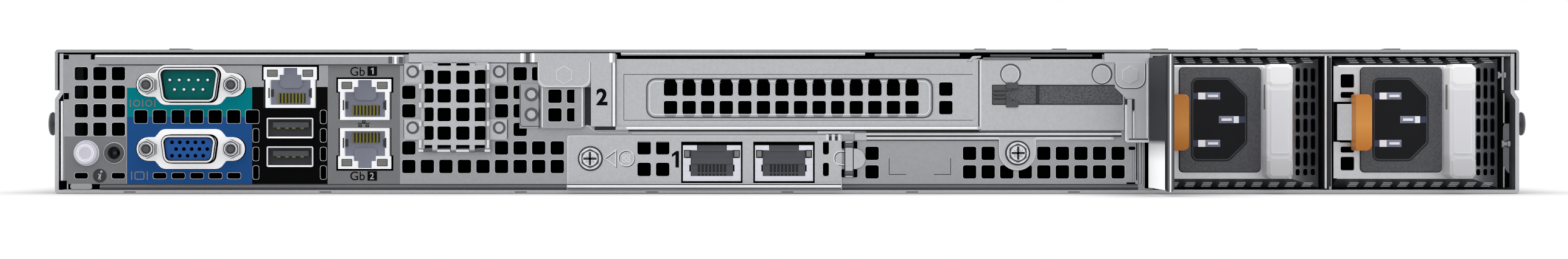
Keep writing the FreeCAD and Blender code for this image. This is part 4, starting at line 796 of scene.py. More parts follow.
PRINT_LOW = 1.7
PORT_COLUMN = (18.8, 55.9)
PORT_SPLIT = 21.6
PATCHES = (
    ("label_patch", 0.2, 18.6, PRINT_LOW, 15.8, "label_grey"),
    ("teal_patch", *PORT_COLUMN, PORT_SPLIT, 30.26, "label_teal"),
    ("blue_patch", *PORT_COLUMN, PRINT_LOW, PORT_SPLIT, "label_blue"),
    ("black_patch", PORT_COLUMN[1], 78.3, PRINT_LOW, 30.5, "label_black"),
    ("grey_patch", 78.4, 99.7, PRINT_LOW, 36.8, "label_grey"),
)
for name, x0, x1, z0, z1, finish in PATCHES:
    film(name, "rear_panel", x0, x1, z0, z1, finish)

panel = Place("rear_panel")
# A black sheet behind the panel: painted shade for the inside, seen through the holes
SHADE_SHEET_DEPTH = -19.0
shade_sheet = block(1.0, panel.width - 1, 0.0, panel.height)
slab("interior_shade_sheet", [shade_sheet], SHADE_SHEET_DEPTH - 0.5, SHADE_SHEET_DEPTH, "dark_plastic", "painted_hollow_shade", at=panel)

# Folds and gaps along the left side: painted highlights on the folds, painted shade in the gaps

TOP_GAP = (38.7, 40.0)
gaps = [
    block(0.0, 1.6, *TOP_GAP),
    block(8.1, 9.6, *TOP_GAP),
    block(0.1, 1.6, 26.8, 28.7),
    block(-1.0, 1.0, 0.1, 2.7),
    block(1.4, 10.8, 0.1, PRINT_LOW),
]
mark("side_gaps", gaps, 0.0, "painted_hollow_shade", at=panel)
folds = Shape(panel).pipe(-0.7, -SHEET, 0.35, 2.7, 26.3).pipe(0.9, -SHEET, 0.35, 28.9, 38.6)
folds.done("side_folds", "galvanised_steel", "painted_white_highlight")
slab("panel_tab", [block(2.1, 8.5, 0.15, 1.8, 0.5)], 0.0, 0.25, "galvanised_steel", soft=0.15, at=panel)

FLANGE_END = 100.9
# The fold's roll and pipe glow white as painted highlights, with painted shade beside them and a painted
# shadow below
fold = Shape(panel).roll(39.6, SHEET - 0.1, 0.2, 9.8, FLANGE_END)
fold.pipe(98.5, SHEET - 0.5, 0.6, 37.3, 39.7).done("flange_fold", "bright_steel", "painted_white_highlight")
shades = [block(x0, x1, 37.4, 39.6) for x0, x1 in ((99.5, 100.7), (96.4, 97.5))]
mark("flange_fold_shade", shades, SHEET, "painted_shade_metal", at=panel)
mark("flange_shadow", [level(10.5, FLANGE_END, 37.0, 0.28)], 0.0, "ink_dark", at=panel)

# Studs on the side walls, as (radius, reach out of the wall)

STUD_PROFILE = ((1.9, 0.0), (1.9, 3.4), (2.6, 4.0), (3.4, 4.5), (3.6, 4.8), (3.4, 5.3))
STUD_FIRST = -16.0
STUD_PITCH = 300.0


def rail_stud(shape, x, depth, z, side):
    """A shoulder stud on a side wall: a neck and a dished head."""
    loops = []
    for radius, reach in STUD_PROFILE:
        spots = disc(depth, z, radius, 28)
        loops.append([shape.point(x + side * reach, spot, height) for spot, height in spots])
    shape.chain(loops)
    shape.mesh.faces.new(loops[-1])


studs = Place("rail_studs")
tray = Place("chassis_tray")
rail_studs = Shape()
for side, x in ((-1, tray.left), (1, tray.right)):
    for step in range(3):
        rail_stud(rail_studs, x, STUD_FIRST - step * STUD_PITCH, studs.z, side)
rail_studs.done("rail_studs_turned", "bright_steel", "darker_steel", stands_for=["rail_studs"])

# Rivets, and the edges of the tabs that they hold, with painted shade round the heads and along the tab edges

RIVET_HEAD = 1.25
RIVET_DOME = [(RIVET_HEAD, 0.0), (RIVET_HEAD, 0.3), (RIVET_HEAD - 0.25, 0.42)]
vent = Place("vent_blank")
riveted = Place("riveted_bracket")
VENT_RIVETS = [(vent.left + x, vent.low + z, 1.9) for x in (2.6, 28.2) for z in (24.0, 7.4)]
BRACKET_RIVETS = [(riveted.left + 3.54, riveted.low + z, 2.06) for z in (10.06, 4.1)]
heads = Shape()
rims = Shape()
for x, z, rim in VENT_RIVETS + BRACKET_RIVETS:
    heads.turn(x, z, RIVET_DOME, THIN)
    rims.turn(x, z, [(rim, 0.0), (rim, 0.2), (RIVET_HEAD + 0.1, 0.2), (RIVET_HEAD, 0.0)], THIN)
heads.done("rivet_heads", "galvanised_steel", "bracket_steel")
rims.done("rivet_rims", "galvanised_steel", "painted_shade_metal")

TAB_REACH = 4.9
tabs = Shape(vent)
for x, inward in ((0.0, TAB_REACH), (vent.width, -TAB_REACH)):
    for top, low in ((vent.height, 20.6), (9.8, 3.8)):
        path = rounded([(x, top), (x, low), (x + inward, low)], [0, 0.9, 0])
        tabs.stroke(path, THIN - 0.1, 0.3, 0.14)
tabs.done("rivet_tab_edges", "galvanised_steel", "painted_shade_metal")


# Serial and video ports

EAR_X, EAR_Z = 16.0, 3.5
SKIRT_X, SKIRT_Z = 9.98, 5.9
FLANGE_LOW = [(SKIRT_X, -SKIRT_Z), (SKIRT_X, -EAR_Z), (EAR_X, -EAR_Z)]
FLANGE_HALF = FLANGE_LOW + [(x, -z) for x, z in reversed(FLANGE_LOW)]
FLANGE_RADII = [2.6, 0.9, 3.45, 3.45, 0.9, 2.6]
FLANGE = rounded(both_sides(FLANGE_HALF), FLANGE_RADII * 2)
FLANGE_SHEET = 0.6
STUD_SPAN = 25.0
D_CORNER = 2.1


def d_outline(x, z, top, low, height):
    """The D of a port, wider at the top."""
    half = [(low / 2, -height / 2), (top / 2, height / 2)]
    return moved(rounded(both_sides(half), D_CORNER, 6), x, z)


def port_shell(name, shell, top, low, height, floor, finish):
    """A flange painted white as a highlight, a drawn ring and the coloured block inside it, with painted
    shade.
    """
    x, z, reach = shell.x, shell.z, shell.front
    outer = d_outline(x, z, top, low, height)
    inner = shrunk(outer, 0.7)
    ears = [disc(x + side * (STUD_SPAN / 2 + 0.25), z, 3.6) for side in (-1, 1)]
    mark(name + "_gap", ears, 0.0, "painted_hollow_shade")
    flange = Shape().plate(moved(FLANGE, x, z), 0.0, FLANGE_SHEET, 0.3, 3)
    flange.done(name + "_flange", "bright_steel", "painted_white_highlight", stands_for=[name + "_port"])
    mark(name + "_root", [shrunk(outer, -0.3)], FLANGE_SHEET, "painted_hollow_shade")
    Shape().frame(outer, inner, FLANGE_SHEET, reach, 0.22).done(name + "_ring", "bright_steel", "chrome")
    lines = Shape().bead(shrunk(outer, -0.1), reach - 0.35, 0.24, 0.1)
    lines.bead(shrunk(inner, -0.05), reach, 0.16, 0.04).done(name + "_lines", "dark_plastic", "ink_black")
    Shape().well(inner, reach - 0.3, floor - 0.4).done(name + "_wall", "bright_steel", "painted_shade_metal")
    insert = name + "_insert"
    core = Shape().plate(shrunk(inner, 0.15), -9.0, floor, 0.2)
    core.done(name + "_block", node_slots[insert], finish, stands_for=[insert])


serial = Place("serial_port")
video = Place("video_port")
SERIAL_FLOOR = 2.0
VIDEO_FLOOR = video.front - 0.7
port_shell("serial", serial, 18.2, 15.2, 10.1, SERIAL_FLOOR, "teal_plastic")
port_shell("video", video, 16.4, 14.2, 8.1, VIDEO_FLOOR, "blue_plastic")

PIN = [(0.58, 0.0), (0.58, 1.0), (0.45, 1.35), (0.2, 1.5)]
PIN_PITCH = 2.8
HOLE_PITCH = 2.3
pins = Shape()
for count, rise in ((5, 1.42), (4, -1.42)):
    for step in range(count):
        x = serial.x + (step - (count - 1) / 2) * PIN_PITCH
        pins.turn(x, serial.z + rise, PIN, SERIAL_FLOOR, sides=20)
pins.done("serial_pins", "bright_steel", "chrome")
holes = []
for rise, shift in ((1.98, -0.3), (0.0, 0.9), (-1.98, -0.3)):
    for step in range(5):
        x = video.x + (step - 2) * HOLE_PITCH + shift
        holes.append(disc(x, video.z + rise, 0.55, 20))
# The video holes are dark discs: painted shade
mark("video_holes", holes, VIDEO_FLOOR, "painted_hollow_shade")

standoffs = Place("port_standoffs")
NUT_RADIUS = 2.9
NUT_SHADE = [(2.3, 0.0), (2.25, 0.08), (1.9, 0.1)]
NUT_COLLAR = [(2.0, 0.0), (1.9, 0.3), (1.65, 0.4), (1.5, 0.12)]
NUT_SPOTS = [(port.x + side * STUD_SPAN / 2, port.z) for port in (serial, video) for side in (-1, 1)]
top = standoffs.front
nuts = Shape()
facets = Shape()
shades = Shape()
collars = Shape()
for x, z in NUT_SPOTS:
    nuts.plate(hexagon(x, z, NUT_RADIUS), FLANGE_SHEET, top, 0.35, 3)
    facets.bead(hexagon(x, z, NUT_RADIUS - 0.3), top, 0.3, 0.1)
    shades.turn(x, z, NUT_SHADE, top)
    collars.turn(x, z, NUT_COLLAR, top)
nuts.done("standoff_nuts", "bright_steel", "nut_steel", stands_for=["port_standoffs"])
# The facets are painted highlights; painted shade lies round the collars and in the bores
facets.done("standoff_facets", "bright_steel", "painted_edge_highlight")
shades.done("standoff_shades", "bright_steel", "painted_shade_metal")
collars.done("standoff_collars", "bright_steel", "chrome")
bores = [disc(x, z, 1.42) for x, z in NUT_SPOTS]
slab("standoff_bores", bores, top, top + 0.2, "dark_plastic", "slot_dark")
mark("standoff_floors", [disc(x, z, 0.95) for x, z in NUT_SPOTS], top + 0.2, "grey_dark")


# Identity button, status jack and the marks beside them

dress("id_button", 0.35, 3)
button = Place("id_button")
# A painted highlight round the button; its ring of dots glows white as painted highlights
rim = Shape().bead(disc(button.x, button.z, button.right - button.x + 0.15, 40), 0.0, 0.3, 0.15)
rim.done("button_rim", "galvanised_steel", "painted_edge_highlight")
dots = Shape().bead(disc(button.x, button.z, 2.45, 40), button.front, 0.2, 0.08)
for x, z in disc(button.x, button.z, 2.0, 24):
    dots.plate(disc(x, z, 0.15, 10), button.front, button.front + INK)
dots.done("button_dots", "button_white", "painted_white_highlight", "id_button")

status = Place("status_jack")
RIM, BORE, BORE_FLOOR = 2.96, 1.87, -4.0
profile = [(RIM, 0.0), (RIM, 0.35), (RIM - 0.2, 0.5), (BORE + 0.1, 0.5), (BORE, 0.4), (BORE, BORE_FLOOR)]
rim = Shape().turn(status.x, status.z, profile)
rim.done("status_rim", "dark_plastic", "grey_dark", stands_for=["status_jack"])
pin = [(0.7, BORE_FLOOR), (0.7, -1.0), (0.5, -0.8)]
Shape().turn(status.x, status.z, pin).done("status_pin", "dark_plastic")
# A painted highlight round the jack
edge = Shape().bead(disc(status.x, status.z, RIM + 0.1, 40), 0.0, 0.25, 0.12)
edge.done("status_edge", "galvanised_steel", "painted_edge_highlight")

INFO_X, INFO_Z = 10.75, 4.17
mark("info_disc", [disc(INFO_X, INFO_Z, 2.03)], INK, "ink_dark", at=panel)
letter = [
    rounded([(-0.55, -1.3), (0.05, -1.35), (0.5, 0.6), (-0.05, 0.6)], 0.15),
    disc(0.5, 1.2, 0.36, 20),
    line(-0.55, -1.2, 0.4, -1.0, 0.28),
    level(-0.5, 0.2, 0.45, 0.28),
]
mark("info_letter", [moved(outline, INFO_X, INFO_Z) for outline in letter], 2 * INK, "ink_light", at=panel)

STROKE = 0.38
RING = 1.06
serial_mark = Shape(panel)
for x in (19.85, 23.5, 27.1):
    serial_mark.plate(upright(x, STROKE, 24.6, 26.75), INK, 2 * INK)
for x in (21.7, 25.3):
    serial_mark.frame(disc(x, 25.67, RING), disc(x, 25.67, RING - STROKE), INK, 2 * INK)
serial_mark.done("serial_mark", "dark_plastic", "ink_grey")
SCREEN_ROW = (2.9, 5.46)
video_mark = Shape(panel)
for x in (20.2, 24.85):
    video_mark.plate(upright(x, STROKE, *SCREEN_ROW), INK, 2 * INK)
screen = block(21.0, 24.05, *SCREEN_ROW, 0.7)
video_mark.frame(screen, shrunk(screen, STROKE), INK, 2 * INK)
video_mark.done("video_mark", "dark_plastic", "ink_grey")


# Network sockets of the board. Their outlines start at the top edge and are the same left and right.

JACK_BODY = [(7.85, 0.0), (7.85, -1.2), (7.85, -2.3), (7.85, -3.7), (7.3, -3.7), (7.3, -12.1)]
JACK_MOUTH = [(2.1, -0.25), (2.1, -2.3), (3.35, -2.3), (3.35, -3.8), (6.05, -3.8), (6.05, -11.2)]
KEY_HALF = [(2.3, -0.3), (2.3, -2.2), (3.3, -2.2), (3.3, -6.2)]
JACK_KEY = rounded(both_sides(KEY_HALF), [0, 0, 0, 1.0, 1.0, 0, 0, 0])
JACK_FACE = 0.55
JACK_FLOOR = -1.6
JACK_GAP = 0.55
LAMP_X = 5.25
LAMP_FACE = 0.58
CONTACT_PITCH = 1.03


def network_jack(name, x, top, flip, replaced=()):
    """A socket with two lamps, a stepped mouth and eight contacts; flip turns it upside down."""

    def there(outlines):
        return [moved(outline, x, top, flip) for outline in outlines]

    # Painted shade round the socket, on its floor and key, in its notches and between its contacts
    gaps = [upright(side * 8.1, 0.7, -4.0, JACK_GAP) for side in (-1, 1)]
    mark(name + "_gap", there(gaps + [block(-8.4, 8.4, 0.0, JACK_GAP)]), 0.0, "painted_hollow_shade")
    body, mouth, key = there([both_sides(JACK_BODY), both_sides(JACK_MOUTH), JACK_KEY])
    housing = Shape().frame(body, mouth, JACK_FLOOR, JACK_FACE, EDGE)
    housing.done(name + "_body", "jack_plastic", stands_for=replaced)
    slab(name + "_floor", [mouth], JACK_FLOOR - 1.0, JACK_FLOOR, "jack_plastic", "jack_inside")
    raised = Shape().plate(key, JACK_FLOOR, JACK_FLOOR + 0.5, 0.3, 3)
    raised.done(name + "_key", "jack_plastic", "jack_inside")
    cells = [around(side * LAMP_X, -1.85, 3.2, 2.2, 0.2) for side in (-1, 1)]
    slab(name + "_cells", there(cells), 0.5, LAMP_FACE, "dark_plastic", "grey_dark")
    lamps = [around(side * LAMP_X, -1.175 - row * 0.42, 2.6, 0.35) for side in (-1, 1) for row in range(4)]
    slab(name + "_lamps", there(lamps), LAMP_FACE, LAMP_FACE + 0.08, "grey_plastic", "lamp_grey")
    notches = Shape()
    for side in (-1, 1):
        inner, outer = there([upright(side * 5.65, 0.8, -8.8, -6.6), upright(side * 6.25, 0.4, -9.2, -6.2)])
        notches.plate(inner, JACK_FLOOR, JACK_FLOOR + 0.3).plate(outer, 0.5, 0.6)
    notches.done(name + "_notches", "jack_plastic", "slot_dark")
    middles = [(step - 3.5) * CONTACT_PITCH for step in range(8)]
    contacts = [upright(middle, 0.4, -10.7, -7.7) for middle in middles]
    slab(name + "_contacts", there(contacts), JACK_FLOOR, JACK_FLOOR + 0.6, "contact_gold")
    between = [upright(middle + 0.4, 0.4, -10.7, -7.8) for middle in middles]
    slab(name + "_gaps", there(between), JACK_FLOOR, JACK_FLOOR + INK, "jack_plastic", "slot_dark")


sockets = Place("network_ports")
LAN_X = sockets.right - 7.7
stood_for = ["network_ports", "jack_contacts"]
network_jack("management_jack", sockets.left + 7.75, sockets.high + 0.1, 1, stood_for)
network_jack("lan_1", LAN_X, sockets.high - 3.5, 1)
network_jack("lan_2", LAN_X, sockets.low - 0.1, -1)

speeds = Shape(panel)
for z in (33.8, 2.8):
    speeds.letters("Gb", 85.0, z, 2.6, 2 * INK)
speeds.done("speed_marks", "dark_plastic", "ink_black")
mark("number_squares", [block(90.1, 92.9, z, z + 2.8) for z in (33.8, 2.7)], INK, "ink_black", at=panel)
numbers = Shape(panel).plate(digit_one(91.1, 34.3, 1.9), 2 * INK, 3 * INK)
numbers.letters("2", 90.8, 3.15, 1.9, 3 * INK, 0.012).done("port_numbers", "dark_plastic", "ink_light")
network_mark = Shape(panel).plate(level(87.1, 90.8, 19.67, 0.2), INK, 2 * INK)
for x, z in ((89.0, 20.25), (87.9, 18.95), (90.0, 18.95)):
    cell = around(x, z, 1.0, 0.7)
    network_mark.frame(cell, shrunk(cell, 0.2), INK, 2 * INK)
network_mark.done("network_mark", "dark_plastic", "ink_black")


# Universal ports

ports = Place("usb_ports")
USB_RISE, USB_HEIGHT, USB_WALL = 8.5, 6.2, 0.5
USB_FLOOR = -1.5
frames = Shape()
mouths, tongues, pads, sills = [], [], [], []
for low in (ports.low, ports.low + USB_RISE):
    high = low + USB_HEIGHT
    outer = block(ports.left, ports.right, low, high, 0.5)
    mouth = shrunk(outer, USB_WALL)
    frames.frame(outer, mouth, -2.0, ports.front, EDGE)
    mouths.append(mouth)
    tongues.append(block(ports.left + 1.7, ports.right - 1.5, high - 3.0, high - 1.3))
    pads += [upright(ports.x + shift, 1.0, high - 3.4, high - 2.85) for shift in (-3.5, -1.0, 1.0, 3.5)]
    sills.append(block(ports.left + 0.6, ports.right - 0.6, low + 0.1, low + 0.55))
frames.done("usb_frames", "bright_steel", "chrome", stands_for=["usb_ports"])
# Painted shade on the floors and contacts inside, and a painted highlight on the sills
slab("usb_floors", mouths, -3.0, USB_FLOOR, "dark_plastic", "slot_dark", stands_for=["usb_inserts"])
slab("usb_tongues", tongues, USB_FLOOR, -0.2, "grey_plastic", "tongue_dark", soft=EDGE)
slab("usb_contacts", pads, USB_FLOOR, -0.15, "contact_gold", "contact_gold_in_shade")
slab("usb_sills", sills, -1.0, ports.front + 0.02, "bright_steel", "painted_white_highlight")


# Lower hem of the rear wall, in darker steel for its shade, with painted shadow lines above and below it

HEM_SPANS = ((10.8, 149.1), (230.7, 318.4))
mark("hem_shadow", [level(*span, 1.55, 0.3) for span in HEM_SPANS], 0.0, "ink_dark", at=panel)
hem = Shape(panel)
for span in HEM_SPANS:
    hem.roll(0.8, -0.3, 0.6, *span)
hem.done("hem_fold", "galvanised_steel", "darker_steel")
mark("hem_gap", [level(*span, 0.15, 0.25) for span in HEM_SPANS], 0.2, "ink_dark", at=panel)


# Vent blank: painted shade behind it, in its holes and on its sill, painted highlights on its folds and
# returns

VENT_LEFT, VENT_RIGHT = 5.0, 25.4
WEBS = ((24.5, 26.3), (19.0, 20.4), (13.4, 14.8), (7.9, 9.3), (1.4, 3.8))
vent_gap = block(VENT_LEFT + 0.3, VENT_RIGHT - 0.3, 1.4, 26.2)
slab("vent_dark", [vent_gap], 0.0, 0.4, "dark_plastic", "painted_hollow_shade", at=vent)
edges = Shape(vent)
for web in WEBS:
    for x in (VENT_LEFT + 0.2, VENT_RIGHT - 0.2):
        edges.pipe(x, vent.front - 0.35, 0.4, *web)
edges.done("vent_folds", "galvanised_steel", "painted_edge_highlight")
halves = [block(x, x + 3.9, z, z + 0.8, 0.35) for x in (10.4, 15.9) for z in (25.7, 1.5)]
mark("vent_half_holes", halves, vent.front, "painted_hollow_shade", at=vent)
rows = [(low[1], high[0]) for low, high in zip(WEBS[1:], WEBS)]
sides = [block(*span, *row, 0.6) for span in ((6.6, 9.2), (21.9, 24.5)) for row in rows]
mark("vent_side_holes", sides, vent.front, "painted_hollow_shade", at=vent)
returns = Shape(vent)
for span in ((4.7, 6.1), (10.2, 14.0), (15.8, 19.6), (24.2, 25.8)):
    returns.roll(0.6, vent.front - 0.6, 0.4, *span)
returns.done("vent_returns", "galvanised_steel", "painted_edge_highlight")
sill = block(VENT_LEFT, VENT_RIGHT, 0.1, 1.1)
slab("vent_sill", [sill], 2.6, vent.front - 0.5, "galvanised_steel", "painted_shade_metal", at=vent)


# Riveted bracket: painted shade behind it and along its seam, painted highlights on its folds

slab("bracket_dark", [block(7.4, 18.0, 1.2, 12.1)], 0.0, 0.4, "dark_plastic", "painted_hollow_shade", at=riveted)
folds = Shape(riveted)
for x in (6.9, 18.6):
    folds.pipe(x, riveted.front - 0.35, 0.38, 0.4, 12.1)
folds.done("bracket_folds", "galvanised_steel", "painted_edge_highlight")
slab("bracket_side", [block(16.4, 18.3, 0.8, 12.0)], 1.4, riveted.front + 0.1, "galvanised_steel", at=riveted)
seam = rounded([(0.2, 13.0), (0.2, 0.6), (6.4, 0.6)], [0, 0.8, 0])
Shape(riveted).stroke(seam, THIN, 0.25, 0.1).done("bracket_seam", "galvanised_steel", "painted_shade_metal")


# Riser cage: strap, tab and number plate, with painted highlights on bends, lines and edges, and painted
# shade by them

riser = Place("riser_cage")
bracket = Place("riser_bracket")
STRAP = (18.9, 21.6)
CAGE_FACE = 3.0
HOOK_PLATE = 1.8
bends = Shape(riser).pipe(33.7, CAGE_FACE - 1.4, 0.6, *STRAP)
bends.pipe(37.0, CAGE_FACE - 0.35, 0.45, *STRAP)
bends.pipe(60.0, CAGE_FACE - 0.6, 0.75, *STRAP)
bends.pipe(60.9, CAGE_FACE - 0.35, 0.42, 0.0, 18.8)
bends.done("cage_bends", "bracket_steel", "painted_white_highlight")
dark = [block(34.8, 36.0, *STRAP), block(58.8, 59.1, STRAP[0], 21.4)]
mark("cage_dark", dark, CAGE_FACE - 0.8, "painted_shade_metal", at=riser)
mark("strap_shadow", [level(0.0, 38.0, STRAP[0] - 0.1, 0.25)], THIN, "ink_dark", at=riser)
hexagons = Shape()
for place, x, z, depth in ((riser, 46.2, 15.2, CAGE_FACE), (bracket, 7.58, 20.0, HOOK_PLATE)):
    hexagons.bead(hexagon(place.left + x, place.low + z, 2.6), depth + 0.2, 0.25, 0.12)
hexagons.done("hexagon_lines", "bracket_steel", "painted_edge_highlight")


def hanging(x0, x1, top, low, radius, steps=5):
    """The path round a tab that hangs down: side, rounded lower edge, side."""
    return rounded([(x0, top), (x0, low), (x1, low), (x1, top)], [0, radius, radius, 0], steps)


def tab_edge(name, place, x0, x1, top, low, depth):
    """The rounded lower edge of a tab that hangs from the strap as a painted highlight, with a painted shadow
    below it.
    """
    edge = Shape(place).stroke(hanging(x0, x1, top, low, 2.6), depth, 0.3, 0.14)
    edge.done(name, "bracket_steel", "painted_edge_highlight")
    below = hanging(x0 - 0.22, x1 + 0.25, top - 0.2, low - 0.25, 2.8)
    Shape(place).stroke(below, depth - 0.1, 0.3, 0.1).done(name + "_shadow", "bracket_steel", "painted_shade_metal")


tab_edge("cage_tab", riser, 38.6, 53.7, 18.8, 11.8, CAGE_FACE)
two = Shape(riser).letters("2", 55.7, 6.2, 5.0, CAGE_FACE + INK, 0.035)
two.done("slot_two", "dark_plastic", "ink_black")
mark("plate_gap", [block(55.0, 61.1, -1.1, -0.1), block(52.1, 54.1, 0.3, 11.6)], 0.1, "slot_dark", at=riser)
Shape(riser).pipe(54.7, CAGE_FACE - 0.3, 0.3, 0.1, 18.6).done("plate_edge", "bracket_steel", "painted_edge_highlight")
mark("plate_line", [upright(60.25, 0.2, 0.0, 18.7)], CAGE_FACE, "painted_shade_metal", at=riser)


# Slot blank: a sunk line, a pressed pan and a rolled lower edge, in painted highlight and shade lines

blank = Place("slot_blank")
PAN = block(9.0, 93.5, 3.6, 15.1, 2.6)
Shape(blank).bead(PAN, SHEET, 0.45, 0.12).done("pan_outer", "galvanised_steel", "painted_shade_metal")
inner = Shape(blank).bead(shrunk(PAN, 0.85), SHEET - 0.1, 0.4, 0.2)
inner.done("pan_inner", "galvanised_steel", "painted_edge_highlight")
RECESS = (2.2, 105.5)
RECESS_LOW, RECESS_HIGH = 2.8, 16.4
recess = [
    upright(RECESS[0], 0.18, RECESS_LOW, RECESS_HIGH),
    level(*RECESS, RECESS_HIGH, 0.2),
    level(*RECESS, RECESS_LOW, 0.18),
]
mark("recess_lines", recess, SHEET, "painted_shade_metal", at=blank)
COLUMNS = [15.9 + step * 5.5 for step in range(14)]
upper = both_sides([(1.9, 14.0), (1.4, 14.9)])
lower = both_sides([(1.3, 3.9), (1.7, 4.5)])
# Flat marks paint the slopes at the ends of the holes: black shade above, grey below
mark("upper_slopes", [moved(upper, x) for x in COLUMNS], SHEET + 0.1, "painted_hollow_shade", at=blank)
mark("lower_slopes", [moved(lower, x) for x in COLUMNS], SHEET + 0.1, "nut_steel", at=blank)
hem = Shape(blank).roll(0.5, blank.front - 0.1, 0.25, 3.0, blank.width - 0.8)
hem.done("blank_hem", "galvanised_steel", "painted_white_highlight")
mark("blank_shadow", [level(3.5, 107.5, -0.25, 0.5)], 0.1, "ink_dark", at=blank)
seam = [(-9.0, 1.2), (-8.0, 0.9), (-6.5, -0.4), (-5.3, -0.8), (3.5, -0.8)]
Shape(blank).stroke(seam, 0.2, 0.5, 0.4).done("seam_fold", "galvanised_steel", "painted_edge_highlight")
Shape(blank).roll(-1.0, 0.0, 0.3, 4.5, 70.5).done("seam_roll", "galvanised_steel", "painted_edge_highlight")

# Bars and gaps between the blanks and the cover; painted shade in the gap, a painted highlight on the bar

COVER_BAR = (1.3, 73.6)
slab("cover_gap", [block(0.1, 143.9, 21.0, 22.85)], 0.0, 0.1, "dark_plastic", "painted_hollow_shade", at=blank)
slab("cover_bar", [block(*COVER_BAR, 21.95, 22.85)], 0.1, 0.5, "galvanised_steel", soft=EDGE, at=blank)
Shape(blank).roll(22.65, 0.4, 0.2, *COVER_BAR).done("cover_bar_edge", "galvanised_steel", "painted_edge_highlight")
bars = Shape(blank).plate(block(76.5, 101.6, 21.85, 22.55), 0.1, 0.4)
bars.plate(block(108.5, 122.6, 20.6, 21.4), 0.1, 1.3).done("gap_bars", "galvanised_steel", "label_grey")
slab("gap_shelf", [block(110.7, 140.9, 21.7, 22.3)], 0.1, 0.3, "dark_plastic", "grey_plastic", at=blank)
hook = [(103.7, 20.1), (105.0, 20.1), (105.9, 21.1), (107.9, 21.3), (107.9, 21.9), (105.4, 21.8)]
slab("gap_hook", [hook], 0.2, 1.4, "bracket_steel", soft=0.15, at=blank)


# Captive screws

SCREW = 3.7
SCREW_WAIST, SCREW_TOP = 1.3, 2.0
SCREW_WASHER = [(SCREW, 0.0), (SCREW, 0.4), (SCREW - 0.3, 0.5), (SCREW - 0.45, 0.5)]
SCREW_SHINE = [(SCREW - 0.35, 0.5), (SCREW - 0.5, 0.8), (SCREW - 0.9, 0.8)]
SCREW_DOME = [(SCREW - 1.35, SCREW_WAIST), (SCREW - 1.4, 1.8), (SCREW - 1.6, SCREW_TOP)]


def cross_screw(name, x, z, depth, replaced=()):
    """A captive screw: washer, hexagon waist, domed head and a cross recess, with painted shade and
    highlights.
    """
    waist, top = depth + SCREW_WAIST, depth + SCREW_TOP
    washer = Shape().turn(x, z, SCREW_WASHER, depth)
    washer.done(name + "_washer", "bright_steel", "painted_shade_metal", stands_for=replaced)
    for part, profile in (("_shine", SCREW_SHINE), ("_dome", SCREW_DOME)):
        Shape().turn(x, z, profile, depth).done(name + part, "bright_steel", "chrome")
    sides = Shape().plate(hexagon(x, z, SCREW - 0.5), depth + 0.5, waist, 0.3, 1)
    sides.done(name + "_waist", "bright_steel", "nut_steel")
    rings = Shape().bead(disc(x, z, SCREW - 1.25), waist, 0.35, 0.1)
    rings.bead(disc(x, z, SCREW - 0.2, 40), depth + 0.4, 0.35, 0.15)
    rings.done(name + "_rings", "bright_steel", "ink_dark")
    facets = Shape().bead(hexagon(x, z, SCREW - 0.6), waist, 0.3, 0.1)
    facets.done(name + "_facets", "bright_steel", "painted_edge_highlight")
    reach = SCREW - 1.75
    arms = [level(x - reach, x + reach, z, 0.7), upright(x, 0.7, z - reach, z + reach)]
    mark(name + "_cross", arms, top, "ink_dark")
    lobes = [disc(x + 0.88 * a, z + 0.88 * b, 0.5, 16) for a in (-1, 1) for b in (-1, 1)]
    mark(name + "_lobes", lobes, top + INK, "painted_lip_highlight")
    glints = [disc(x + shift, z + 1.0, 0.18, 12) for shift in (-0.9, 0.9)]
    mark(name + "_glints", glints, top + 2 * INK, "painted_white_highlight")


screws = Place("captive_screws")
cross_screw("card_screw", screws.left + 3.6, screws.low + 3.75, SHEET, ["captive_screws"])
cross_screw("rail_screw", screws.right - 3.64, screws.high - 3.79, THIN)


# Card bracket with its marks and sockets; its pressings, hem and rim carry painted highlights and shade

card = Place("network_bracket")
PRESS_X, PRESS_Z = 17.5, 9.06
arrow = [(11.1, 9.0), (14.4, 6.6), (14.4, 11.4)]
ring = disc(PRESS_X, PRESS_Z, 2.3, 36)
presses = Shape(card)
shades = Shape(card)
for outline in (arrow, ring):
    presses.bead(outline, SHEET, 0.35, 0.15)
    shades.bead(moved(outline, 0.2, -0.22), SHEET, 0.3, 0.06)
for x, z in disc(PRESS_X, PRESS_Z, 0.95, 4, 45):
    presses.bead(disc(x, z, 0.5, 16), SHEET, 0.25, 0.12)
presses.done("press_marks", "bracket_steel", "painted_edge_highlight")
shades.done("press_shades", "bracket_steel", "painted_shade_metal")
CARD = (0.1, 81.1)
mark("slot_one", [digit_one(31.0, 6.3, 4.9)], SHEET, "ink_black", at=card)
mark("card_line", [level(*CARD, 1.45, 0.25)], SHEET, "painted_shade_metal", at=card)
Shape(card).roll(0.8, 1.8, 0.3, *CARD).done("card_hem", "bracket_steel", "painted_white_highlight")
mark("card_hem_shade", [level(*CARD, z, 0.25) for z in (0.15, 1.3)], 2.0, "ink_dark", at=card)
rim = rounded([(0.2, 1.5), (0.2, 15.7), (CARD[1], 15.7)], [0, 1.0, 0])
Shape(card).stroke(rim, SHEET, 0.25, 0.1).done("card_rim", "bracket_steel", "painted_edge_highlight")

# Half of a card socket, as (inner x, outer x, low z, high z). X counts from its middle and z from its foot.

